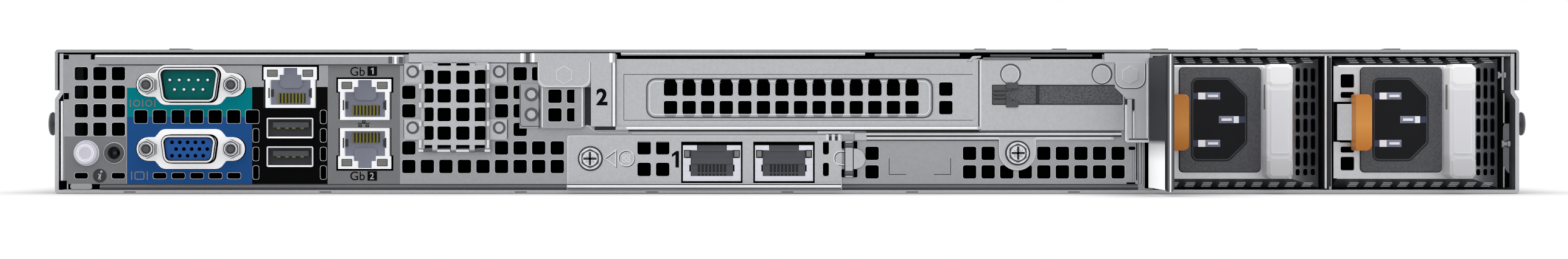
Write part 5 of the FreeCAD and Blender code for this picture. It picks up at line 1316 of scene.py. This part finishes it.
SHIELD_X = 8.6
SHIELD = (
    (6.3, SHIELD_X, 0.15, 2.75),
    (6.7, SHIELD_X, 2.75, 4.75),
    (6.3, SHIELD_X, 4.75, 6.75),
    (4.4, SHIELD_X, 9.05, 10.55),
    (7.9, SHIELD_X, 6.75, 9.05),
)
CARD_MOUTH = both_sides([(6.3, 1.4), (6.3, 8.75), (4.2, 9.55), (4.2, 10.55)])
CARD_FLOOR = 0.15
SLOT_PITCH = 1.1
SLOT_ROWS = ((2.55, 4.85), (1.5, 2.15))
jacks = Place("network_jacks")


def card_jack(name, x, replaced=()):
    """A shielded socket behind the bracket; its middle is at x. Painted shade fills the gap round it."""

    def pair(u0, u1, z0, z1):
        return [block(x + u0, x + u1, z0, z1), block(x - u1, x - u0, z0, z1)]

    mark(name + "_gap", [block(x - 9.1, x + 9.1, -0.65, 11.6)], 0.02, "painted_hollow_shade", at=jacks)
    shield = Shape(jacks)
    for row in SHIELD:
        for outline in pair(*row):
            shield.plate(outline, 0.0, 0.5, 0.12)
    shield.plate(block(x - SHIELD_X, x + SHIELD_X, -0.1, 1.4), 0.0, 0.55, 0.12)
    shield.done(name + "_shield", "jack_shield", stands_for=replaced)
    slab(name + "_inside", [moved(CARD_MOUTH, x)], 0.0, CARD_FLOOR, "jack_plastic", "card_inside", at=jacks)
    shelf = Shape(jacks).bar([(CARD_FLOOR, 5.05), (0.45, 5.05), (CARD_FLOOR, 6.55)], x - 6.0, x + 6.0)
    shelf.bar([(CARD_FLOOR, 8.75), (0.4, 8.75), (CARD_FLOOR, 9.35)], x - 4.0, x + 4.0)
    shelf.done(name + "_shelf", "jack_plastic", "card_inside")
    cells = pair(6.4, 8.3, 6.85, 9.15)
    slab(name + "_cells", cells, 0.2, 0.58, "dark_plastic", "slot_dark", at=jacks)
    lamps = [shrunk(cell, 0.3) for cell in cells]
    slab(name + "_lamps", lamps, 0.5, 0.7, "grey_plastic", "lamp_grey", at=jacks)
    middles = [x + (step - 3.5) * SLOT_PITCH for step in range(8)]
    slots = [upright(middle, 0.72, *row) for middle in middles for row in SLOT_ROWS]
    mark(name + "_slots", slots, CARD_FLOOR, "card_slots", at=jacks)


JACK_HALF = 8.3
card_jack("card_jack_1", JACK_HALF, ["network_jacks"])
card_jack("card_jack_2", jacks.width - JACK_HALF)

# Clip beside the card, and the fold marks of the wall, drawn with painted highlights and painted shade

clip = Place("card_clip")
CLIP = (0.4, 2.7)
CLIP_LOW, CLIP_HIGH = -0.5, 10.2
rows = ((8.0, CLIP_HIGH), (CLIP_LOW, 1.9))
slots = [block(*span, *row, 0.3) for span in ((-0.7, 0.5), (2.6, 4.0)) for row in rows]
mark("clip_slots", slots, SHEET, "painted_hollow_shade", at=clip)
tongue = rounded([(2.2, 2.0), (6.4, 2.0), (6.4, 8.0), (2.2, 8.0)], [0.2, 2.8, 2.8, 0.2])
plate = Shape(clip).plate(tongue, 0.3, SHEET + 0.3, 0.25, 3)
plate.done("clip_tongue", "bracket_steel", stands_for=["card_clip"])
loop = rounded([(0.4, 7.2), (-2.9, 7.2), (-2.9, 3.2), (0.4, 3.2)], [0, 1.9, 1.9, 0])
Shape(clip).stroke(loop, SHEET, 0.4, 0.2).done("clip_loop", "bracket_steel", "painted_edge_highlight")
shade = Shape(clip).stroke(moved(loop, 0.25, -0.2), SHEET, 0.3, 0.1)
shade.done("clip_loop_shade", "bracket_steel", "painted_shade_metal")
strap = Shape(clip).plate(block(*CLIP, CLIP_LOW, CLIP_HIGH), SHEET, SHEET + 0.5, EDGE)
strap.done("clip_strap", "bracket_steel")
edges = [upright(x, 0.22, CLIP_LOW, CLIP_HIGH) for x in (0.25, 2.85)]
mark("clip_edge_shade", edges, SHEET + 0.3, "ink_dark", at=clip)
ends = Shape(clip).roll(9.0, SHEET + 0.2, 0.8, *CLIP).roll(0.7, SHEET + 0.2, 0.8, *CLIP)
ends.done("clip_ends", "bracket_steel", "painted_shade_metal")
STEP_ROW = (10.4, 12.2)
steps = Shape(clip)
for x in (-4.9, -3.1, -1.3):
    steps.pipe(x, SHEET, 0.45, *STEP_ROW)
steps.roll(12.8, 0.6, 0.4, -7.8, 1.9).done("clip_step", "bracket_steel", "painted_edge_highlight")
mark("clip_step_dark", [upright(x, 0.8, *STEP_ROW) for x in (-4.0, -2.2)], SHEET, "ink_dark", at=clip)
CORNER_Z = 0.3
corners = []
for x, inward in ((13.5, 5.0), (31.7, -5.0)):
    corners += [line(x, CORNER_Z, x, 5.1, 0.22), line(x, CORNER_Z, x + inward, CORNER_Z, 0.22)]
mark("corner_shade_lines", corners, 0.0, "ink_dark", at=clip)
mark("corner_highlight_lines", [moved(outline, 0.2, -0.25) for outline in corners], 0.0, "ink_light", at=clip)


# Riser blank with its strip and bracket, their rings, folds, edges and gaps in painted highlights and shade

second = Place("riser_blank")
rings = Shape(second)
lips = Shape(second)
for x in (8.97, 36.0):
    rings.bead(disc(x, 16.7, 2.85, 40), SHEET, 0.55, 0.1)
    lips.bead(disc(x - 0.1, 16.55, 2.55, 40), SHEET, 0.25, 0.12)
rings.done("riser_rings", "bracket_steel", "painted_shade_metal")
lips.done("riser_lips", "bracket_steel", "painted_edge_highlight")
Shape(second).pipe(0.1, SHEET - 0.2, 0.3, 0.4, 20.8).done("riser_edge", "bracket_steel", "painted_edge_highlight")
mark("riser_gap", [upright(-0.45, 0.35, 0.2, 20.8)], SHEET, "ink_dark", at=second)

strip = Place("retainer_strip")
STRIP = (-0.2, 38.1)
STRIP_LOW, STRIP_HIGH = 1.0, 6.5
STRIP_FACE = SHEET + 0.1
FORK_X, FORK_FACE = 3.7, 1.7
band = Shape(strip).plate(block(*STRIP, STRIP_LOW, STRIP_HIGH), 0.2, STRIP_FACE)
band.done("strip_band", "dark_plastic", "strip_grain_and_shade", stands_for=["retainer_strip"])
mark("strip_groove", [block(12.5, 13.6, STRIP_LOW, STRIP_HIGH)], STRIP_FACE, "slot_dark", at=strip)
edges = [level(*STRIP, z, 0.25) for z in (STRIP_LOW, STRIP_HIGH)]
mark("strip_edge_shade", edges, STRIP_FACE, "ink_dark", at=strip)
fork = Shape(strip)
for row in ((STRIP_LOW, 2.2), (2.7, 3.3), (3.8, 4.5), (5.0, STRIP_HIGH)):
    fork.plate(block(STRIP[0], FORK_X, *row), SHEET, FORK_FACE, EDGE)
for row in ((STRIP_LOW, 2.6), (5.0, STRIP_HIGH)):
    fork.plate(block(FORK_X, 5.5, *row), SHEET, FORK_FACE, EDGE)
for row in ((0.0, 1.8), (5.6, 7.4)):
    fork.plate(block(FORK_X, 7.3, *row, 0.3), SHEET, strip.front, 0.3, 3)
fork.done("strip_fork", "dark_plastic", "grey_dark")

HOOK = 2.3
folds = Shape(bracket).pipe(0.9, 0.6, 0.7, 23.7, 26.3)
folds.pipe(12.7, 1.6, 0.35, 1.3, 23.3)
folds.pipe(6.4, HOOK - 0.35, 0.4, 0.4, 11.2)
folds.pipe(8.65, HOOK - 0.4, 0.3, 1.2, 9.0)
folds.roll(0.4, HOOK - 0.3, 0.35, 6.4, 13.1)
folds.done("hook_folds", "bracket_steel", "painted_edge_highlight")
gaps = [block(7.1, 8.2, 1.0, 9.4), block(6.0, 8.8, 9.5, 12.9, 0.2)]
mark("hook_gaps", gaps, HOOK_PLATE + 0.15, "slot_dark", at=bracket)
shades = [upright(13.3, 0.25, 0.4, 23.2), level(7.1, 12.7, 1.0, 0.35)]
mark("hook_shade", shades, HOOK, "ink_dark", at=bracket)
tab_edge("bracket_tab", bracket, 3.35, 11.8, 23.6, 16.3, HOOK_PLATE + 0.2)

# Rail under the riser, with painted highlights on its rolls and tab, and painted shade beside them and in its
# gaps

rail = Place("riser_rail")
RAIL = (3.5, 79.0)
RAIL_LEFT = (RAIL[0], 42.7)
rolls = Shape(rail).roll(10.9, 0.5, 0.4, *RAIL)
rolls.roll(9.65, 0.5, 0.4, *RAIL_LEFT).roll(9.65, 0.5, 0.4, 53.7, 76.0)
rolls.done("rail_rolls", "bracket_steel", "painted_edge_highlight")
shade = [level(*RAIL, 10.25, 0.5), level(*RAIL_LEFT, 9.05, 0.3), level(*RAIL, 11.5, 0.3)]
mark("rail_shade", shade, THIN, "ink_dark", at=rail)
tab = Shape(rail).stroke(hanging(42.9, 53.5, 9.65, 0.35, 5.2, 10), THIN, 0.3, 0.15)
tab.done("rail_tab_edge", "bracket_steel", "painted_edge_highlight")
gaps = [
    block(81.2, 83.2, 6.15, 7.15, 0.4),
    block(83.5, 83.8, -2.85, 8.15),
    block(86.0, 87.1, -5.25, 9.15),
    block(80.6, 83.2, -3.95, -3.45),
]
mark("rail_gaps", gaps, 0.02, "painted_hollow_shade", at=rail)
posts = Shape(rail)
for x, radius, low, high in ((82.7, 0.3, -3.45, 6.05), (84.6, 0.5, -3.85, 8.55), (85.8, 0.25, -4.45, 7.95)):
    posts.pipe(x, 0.1, radius, low, high)
posts.done("corner_folds", "galvanised_steel")


# Power supplies. A blade is (left x, middle z), then the x where the light beside it starts, dims and ends.

SOCKET_CORNERS = [(10.8, 8.45), (21.3, 8.45), (26.4, 13.5), (26.4, 27.1), (21.3, 32.25), (10.8, 32.25)]
SOCKET = rounded(SOCKET_CORNERS, [1.5, 1.6, 1.6, 1.6, 1.6, 1.5])
BEZEL = block(7.0, 30.85, 4.85, 35.65, 1.1)
BEZEL_FACE = 0.9
BLADE_ROOT, BLADE_TIP = BEZEL_FACE + INK, 1.5
BLADE_LENGTH = 4.4
BLADES = (
    (14.5, 27.3, 14.5, 12.4, 10.95),
    (14.5, 13.25, 14.5, 12.4, 10.95),
    (18.5, 20.3, 18.5 + BLADE_LENGTH, 24.4, 26.25),
)
GRIP_END = 6.7
GRIP_CUT = 1.2
SLANT_X, SLANT = 40.2, 9.0 / 9.7
TOP_SLOPE, SILL_SLOPE = 0.2556, 0.3056


def supply_case(body, case):
    """The case: its face edge, painted highlights on hole lips and top, painted shade on slopes and behind
    the face.
    """
    node = f"{body}_case"
    dress(node, slope="painted_slope_shade")
    hole_rims(node, corner=0.5)
    hole_rims(node, corner=0.7, width=0.3, finish="painted_slope_shade", slanted=True, plug="painted_hollow_shade")
    mark(f"{body}_face_dark", [block(0.6, 6.4, 3.5, 35.7)], -1.6, "painted_hollow_shade", body, case)
    edge = Shape(case).plate(block(-1.0, 0.6, 2.9, 36.2), -0.6, 0.01)
    edge.done(f"{body}_face_edge", "supply_case", body=body)
    top = Shape(case).roll(36.15, 0.0, 0.3, 0.4, 40.0)
    top.done(f"{body}_top_edge", "supply_case", "painted_white_highlight", body)


def supply_inlet(body, case):
    """The inlet: a bezel with a painted shadow round it, and a black socket in painted shade with three
    blades.
    """
    dress(f"{body}_inlet", EDGE)
    mark(f"{body}_bezel_shade", [shrunk(BEZEL, -0.25)], 0.0, "ink_dark", body, case)
    bezel = Shape(case).plate(BEZEL, 0.0, BEZEL_FACE, 0.35, 3)
    bezel.done(f"{body}_bezel", "inlet_plastic", body=body)
    mark(f"{body}_socket", [SOCKET], BEZEL_FACE, "socket_black_and_shade", body, case)
    edge = Shape(case).bead(shrunk(SOCKET, -0.3), BEZEL_FACE, 0.5, 0.2)
    edge.done(f"{body}_socket_edge", "inlet_plastic", "slot_dark", body)
    rim = Shape(case).bead(SOCKET, BEZEL_FACE, 0.35, 0.25)
    rim.done(f"{body}_socket_rim", "inlet_plastic", "grey_plastic", body)
    for step, (x, z, near, tail, wall) in enumerate(BLADES):
        blade = f"{body}_blade_{step}"
        base = block(x, x + BLADE_LENGTH, z - 1.05, z + 1.05)
        tip = shrunk(base, 0.7)
        slope = Shape(case).ring((base, BLADE_ROOT), (tip, BLADE_TIP))
        slope.done(blade, "inlet_plastic", "blade_reflection_grey", body)
        mark(blade + "_tip", [tip], BLADE_TIP, "blade_highlight", body, case)
        mark(blade + "_root", [level(near, tail, z, 2.0)], BLADE_ROOT, "blade_highlight", body, case)
        mark(blade + "_tail", [level(tail, wall, z, 1.9)], BLADE_ROOT, "blade_dim_reflection", body, case)


def supply_release(body, case):
    """The orange thumb piece on its leaf spring."""
    # Painted shade in the slot behind the leaf
    mark(f"{body}_leaf_slot", [block(-1.0, 5.4, 13.7, 25.6)], 0.02, "painted_hollow_shade", body, case)
    latch = f"{body}_latch"
    box = Place(latch)
    corners = [(3.9, box.low), (8.6, box.low), (8.6, box.high), (3.9, box.high)]
    outline = moved(rounded(corners, [0.4, 1.4, 1.4, 0.4]), case.left)
    thumb = Shape().plate(outline, 1.5, box.front, 0.9, 6)
    thumb.done(f"{body}_release", "orange_plastic", body=latch, stands_for=[latch])
    spring = Shape(case).post([(-0.1, 0.5), (4.6, 1.9), (4.6, 2.3), (-0.1, 0.9)], 14.2, 24.9)
    spring.done(f"{body}_leaf", "bright_steel", "bracket_steel", latch)


def supply_grip(body):
    """The pale handle: a core, two thick ends, a bar between them and fine lines on the bar, painted as
    highlights.
    """
    grip = Place(f"{body}_handle")
    front, width, height = grip.front, grip.width, grip.height
    foot, head = GRIP_END, height - GRIP_END
    look = dict(slot="handle_plastic", body=body, angle=20)

    def chamfered(low, high):
        return rounded([(0.0, low), (width, low), (width, high), (0.0, high)], GRIP_CUT, 1)

    core = Shape(grip).bevelled(chamfered(0.0, height), 0.0, front - 0.9, 0.3)
    core.done(f"{body}_grip", stands_for=[f"{body}_handle"], **look)
    ends = Shape(grip)
    for low, high in ((0.0, foot), (head, height)):
        ends.bevelled(chamfered(low, high), front - 1.2, front + 0.1, 0.9)
    ends.done(f"{body}_grip_ends", **look)
    bar = Shape(grip).bevelled(block(0.4, width - 0.4, foot, head), front - 1.2, front - 0.4, 1.0)
    bar.done(f"{body}_grip_bar", **look)
    left, right = 1.4, width - 1.4
    paths = [[(x, foot + 1.0), (x, head - 1.0)] for x in (left, right)]
    paths += [[(left, z), (right, z)] for z in (foot + 0.9, head - 0.9)]
    lines = Shape(grip)
    for path in paths:
        lines.stroke(path, front - 0.42, 0.2, 0.06)
    lines.done(f"{body}_grip_lines", "handle_plastic", "painted_edge_highlight", body)
    slit = Shape(grip).post(block(-0.03, 0.2, 3.2, 5.6), 20.4, 27.7)
    slit.done(f"{body}_slit", "handle_plastic", "slit_green", body)


def wall_depth(x):
    """The depth of a case's slanted wall, just clear of it."""
    return (SLANT_X - x) * SLANT + 0.04


def supply_louvres(body, case):
    """Rows of louvres above and below in painted highlight, and a short row of holes in the slanted wall in
    painted shade.
    """
    dashes = Shape(case)
    for row in range(3):
        high, low = 4.0 + row * 2.4, 4.0 + row * 1.7
        top, sill = 36.3 + high * TOP_SLOPE, 2.75 - low * SILL_SLOPE
        for step in range(9):
            x = 4.6 + step * 5.0
            dashes.bar([(-high, top), (-high, top + 0.22), (-high - 0.9, top + 0.24)], x, x + 2.7)
            dashes.bar([(-low, sill), (-low, sill - 0.22), (-low - 0.7, sill - 0.24)], x, x + 2.7)
    dashes.done(f"{body}_louvres", "supply_case", "painted_dash_highlight", body)
    holes = Shape(case)
    for step in range(3):
        holes.skin(around(42.4 + step * 2.75, 4.65, 1.5, 1.9, 0.6), wall_depth)
    holes.done(f"{body}_short_row", "dark_plastic", "painted_hollow_shade", body)


for body in ("psu_1", "psu_2"):
    case = Place(f"{body}_case")
    for finish_part in (supply_case, supply_inlet, supply_release, supply_louvres):
        finish_part(body, case)
    supply_grip(body)


# Guard beside the supplies, with a painted reflection and a painted shine; cage and cover

dress("psu_cage", 0.15)
cage = Place("psu_cage")
sheen = Shape(cage).post(block(-0.04, -0.01, 1.2, cage.front - 1.2), 0.7, 39.0)
sheen.done("guard_sheen", "galvanised_steel", "guard_painted_reflection")
tube = Shape(cage).plate(around(0.9, 19.7, 2.24, 39.0, 0.9), cage.front - 2.0, cage.front + 1.0, 0.9, 5)
tube.done("guard_tube", "bright_steel", "tube_shine")
dress("top_cover", 0.15)
dress("chassis_tray", 0.15, finish="bracket_steel")

# Right bay beside the second supply, with painted shade in its gaps and on its gusset

BAY_BACK = -0.9
lines = Shape(cage).pipe(105.2, -0.6, 0.35, 29.6, 39.4)
lines.pipe(105.6, -0.8, 0.25, 19.8, 28.6).pipe(105.6, -0.8, 0.25, 0.7, 6.8)
lines.done("bay_lines", "galvanised_steel")
gaps = [block(105.9, 107.3, *row) for row in ((19.6, 26.0), (0.8, 5.0))]
mark("bay_gaps", gaps, BAY_BACK, "painted_hollow_shade", at=cage)
gusset = [(105.4, 7.0), (107.2, 4.8), (107.2, 23.0), (105.4, 18.6)]
mark("bay_gusset", [gusset], BAY_BACK, "painted_shade_metal", at=cage)
bosses = Shape(cage)
for x, length, z in ((103.6, 2.4, 34.0), (104.8, 2.5, 13.6)):
    for start, end, radius in ((0.0, 0.25, 1.3), (0.25, 0.7, 0.75), (0.7, 1.0, 1.15)):
        bosses.roll(z, BAY_BACK, radius, x + start * length, x + end * length)
bosses.done("bay_bosses", "bright_steel", "nut_steel")

# Marks along the rear edges of the cover and the tray, in painted shade and painted highlights

cover = Place("top_cover")
BUMPS = ((33.7, 39.7), (272.7, 276.0), (295.8, 300.0), (325.4, 330.1), (351.9, 356.6), (394.3, 399.0))
bumps = [block(*span, 12.05, 12.4, 0.1) for span in BUMPS]
slab("cover_bumps", bumps, -6.0, -1.0, "galvanised_steel", "painted_shade_metal", "cover", at=cover)
DIMPLES = (22.2, 80.2, 138.1, 177.0, 217.1, 254.1, 302.0)
mark("tray_dimples", [around(x, 0.525, 3.6, 0.35, 0.15) for x in DIMPLES], 0.0, "darker_steel", at=tray)
top_lines = [level(x0, x1, 40.0, 0.22) for x0, x1 in ((6.4, 51.9), (54.2, 105.8))]
mark("cage_top_line", top_lines, 0.0, "painted_dash_highlight", at=cage)
mark("divider_dark", [block(52.1, 54.2, 1.0, 39.2)], 0.05, "bay_dark", at=cage)
Shape(cage).pipe(52.6, 0.1, 0.28, 0.4, 39.8).done("divider_edge", "galvanised_steel", "painted_edge_highlight")


# Floor, light and camera, in metres. The light of the sky goes by height and by how far aside it comes from.

CAMERA_AWAY = 0.8
CAMERA_X, CAMERA_Z = -0.0009, 0.01907
VIEW_WIDTH = 0.46465
SENSOR = 36
KEY_PLACE = Vector((-0.3, PANEL - 0.9, 1.2))
KEY_AIM = Vector((0, PANEL, 0.02))
UP_DOWN = ((0.0, 0.06), (0.42, 0.16), (0.5, 0.27), (0.58, 0.34), (0.72, 0.7), (1.0, 0.9))
SIDEWAYS = ((0.0, 0.0), (0.5, 0.0), (0.72, 0.45), (1.0, 0.1))


def seen_directly(tree, picture, rest, output):
    """One look for the picture and for what shines in metal, another for the light on the object."""
    mix = add(tree, "ShaderNodeMixShader")
    path = add(tree, "ShaderNodeLightPath")
    seen = path.outputs["Is Camera Ray"]
    for kind in ("Is Glossy Ray", "Is Transmission Ray"):
        either = add(tree, "ShaderNodeMath", operation="MAXIMUM")
        tree.links.new(seen, either.inputs[0])
        tree.links.new(path.outputs[kind], either.inputs[1])
        seen = either.outputs["Value"]
    tree.links.new(seen, mix.inputs[0])
    tree.links.new(rest.outputs[0], mix.inputs[1])
    tree.links.new(picture.outputs[0], mix.inputs[2])
    tree.links.new(mix.outputs[0], output.inputs["Surface"])


bpy.ops.mesh.primitive_plane_add(size=12, location=(0, 0, 0))
floor = bpy.context.object
floor.name = "floor"
tree, main = shader("floor_white")
main.inputs["Base Color"].default_value = (0.7, 0.7, 0.7, 1)
main.inputs["Roughness"].default_value = 0.9
white = add(tree, "ShaderNodeEmission", Color=(1, 1, 1, 1))
# Ambient occlusion dims the floor's white near the object: a painted soft shadow
shade = add(tree, "ShaderNodeAmbientOcclusion", Distance=0.03)
tree.links.new(shade.outputs["AO"], white.inputs["Strength"])
seen_directly(tree, white, main, tree.nodes["Material Output"])
floor.data.materials.append(MATERIALS["floor_white"])

world = bpy.data.worlds.new("studio")
bpy.context.scene.world = world
world.use_nodes = True
tree = world.node_tree
sky = tree.nodes["Background"]
coordinates = add(tree, "ShaderNodeTexCoord")
split = add(tree, "ShaderNodeSeparateXYZ")
tree.links.new(coordinates.outputs["Generated"], split.inputs["Vector"])
rise = add(tree, "ShaderNodeMapRange")
rise.inputs["From Min"].default_value = -1
tree.links.new(split.outputs["Z"], rise.inputs["Value"])
aside = add(tree, "ShaderNodeMath", operation="ABSOLUTE")
tree.links.new(split.outputs["X"], aside.inputs[0])
by_height = ramp(tree, rise.outputs["Result"], [(place, (value,) * 3) for place, value in UP_DOWN])
by_side = ramp(tree, aside.outputs["Value"], [(place, (value,) * 3) for place, value in SIDEWAYS])
both = add(tree, "ShaderNodeMix", data_type="RGBA", blend_type="ADD")
both.inputs["Factor"].default_value = 1
tree.links.new(by_height, both.inputs["A"])
tree.links.new(by_side, both.inputs["B"])
tree.links.new(both.outputs["Result"], sky.inputs["Color"])
sky.inputs["Strength"].default_value = 1.15
backdrop = add(tree, "ShaderNodeBackground", Color=(1, 1, 1, 1))
seen_directly(tree, backdrop, sky, tree.nodes["World Output"])

light = bpy.data.lights.new("key", "AREA")
light.shape = "RECTANGLE"
light.size, light.size_y = 1.6, 0.5
light.energy = 1.2
key = bpy.data.objects.new("key", light)
bpy.context.scene.collection.objects.link(key)
key.location = KEY_PLACE
key.rotation_euler = (KEY_AIM - KEY_PLACE).to_track_quat("-Z", "Y").to_euler()

camera = bpy.data.cameras.new("camera")
camera.sensor_width = SENSOR
camera.lens = SENSOR * CAMERA_AWAY / VIEW_WIDTH
camera.clip_start = 0.01
camera.clip_end = 50
holder = bpy.data.objects.new("camera", camera)
bpy.context.scene.collection.objects.link(holder)
holder.location = (CAMERA_X, PANEL - CAMERA_AWAY, CAMERA_Z)
holder.rotation_euler = (math.pi / 2, 0, 0)

scene = bpy.context.scene
scene.camera = holder
scene.render.engine = "CYCLES"
scene.view_settings.view_transform = "Standard"
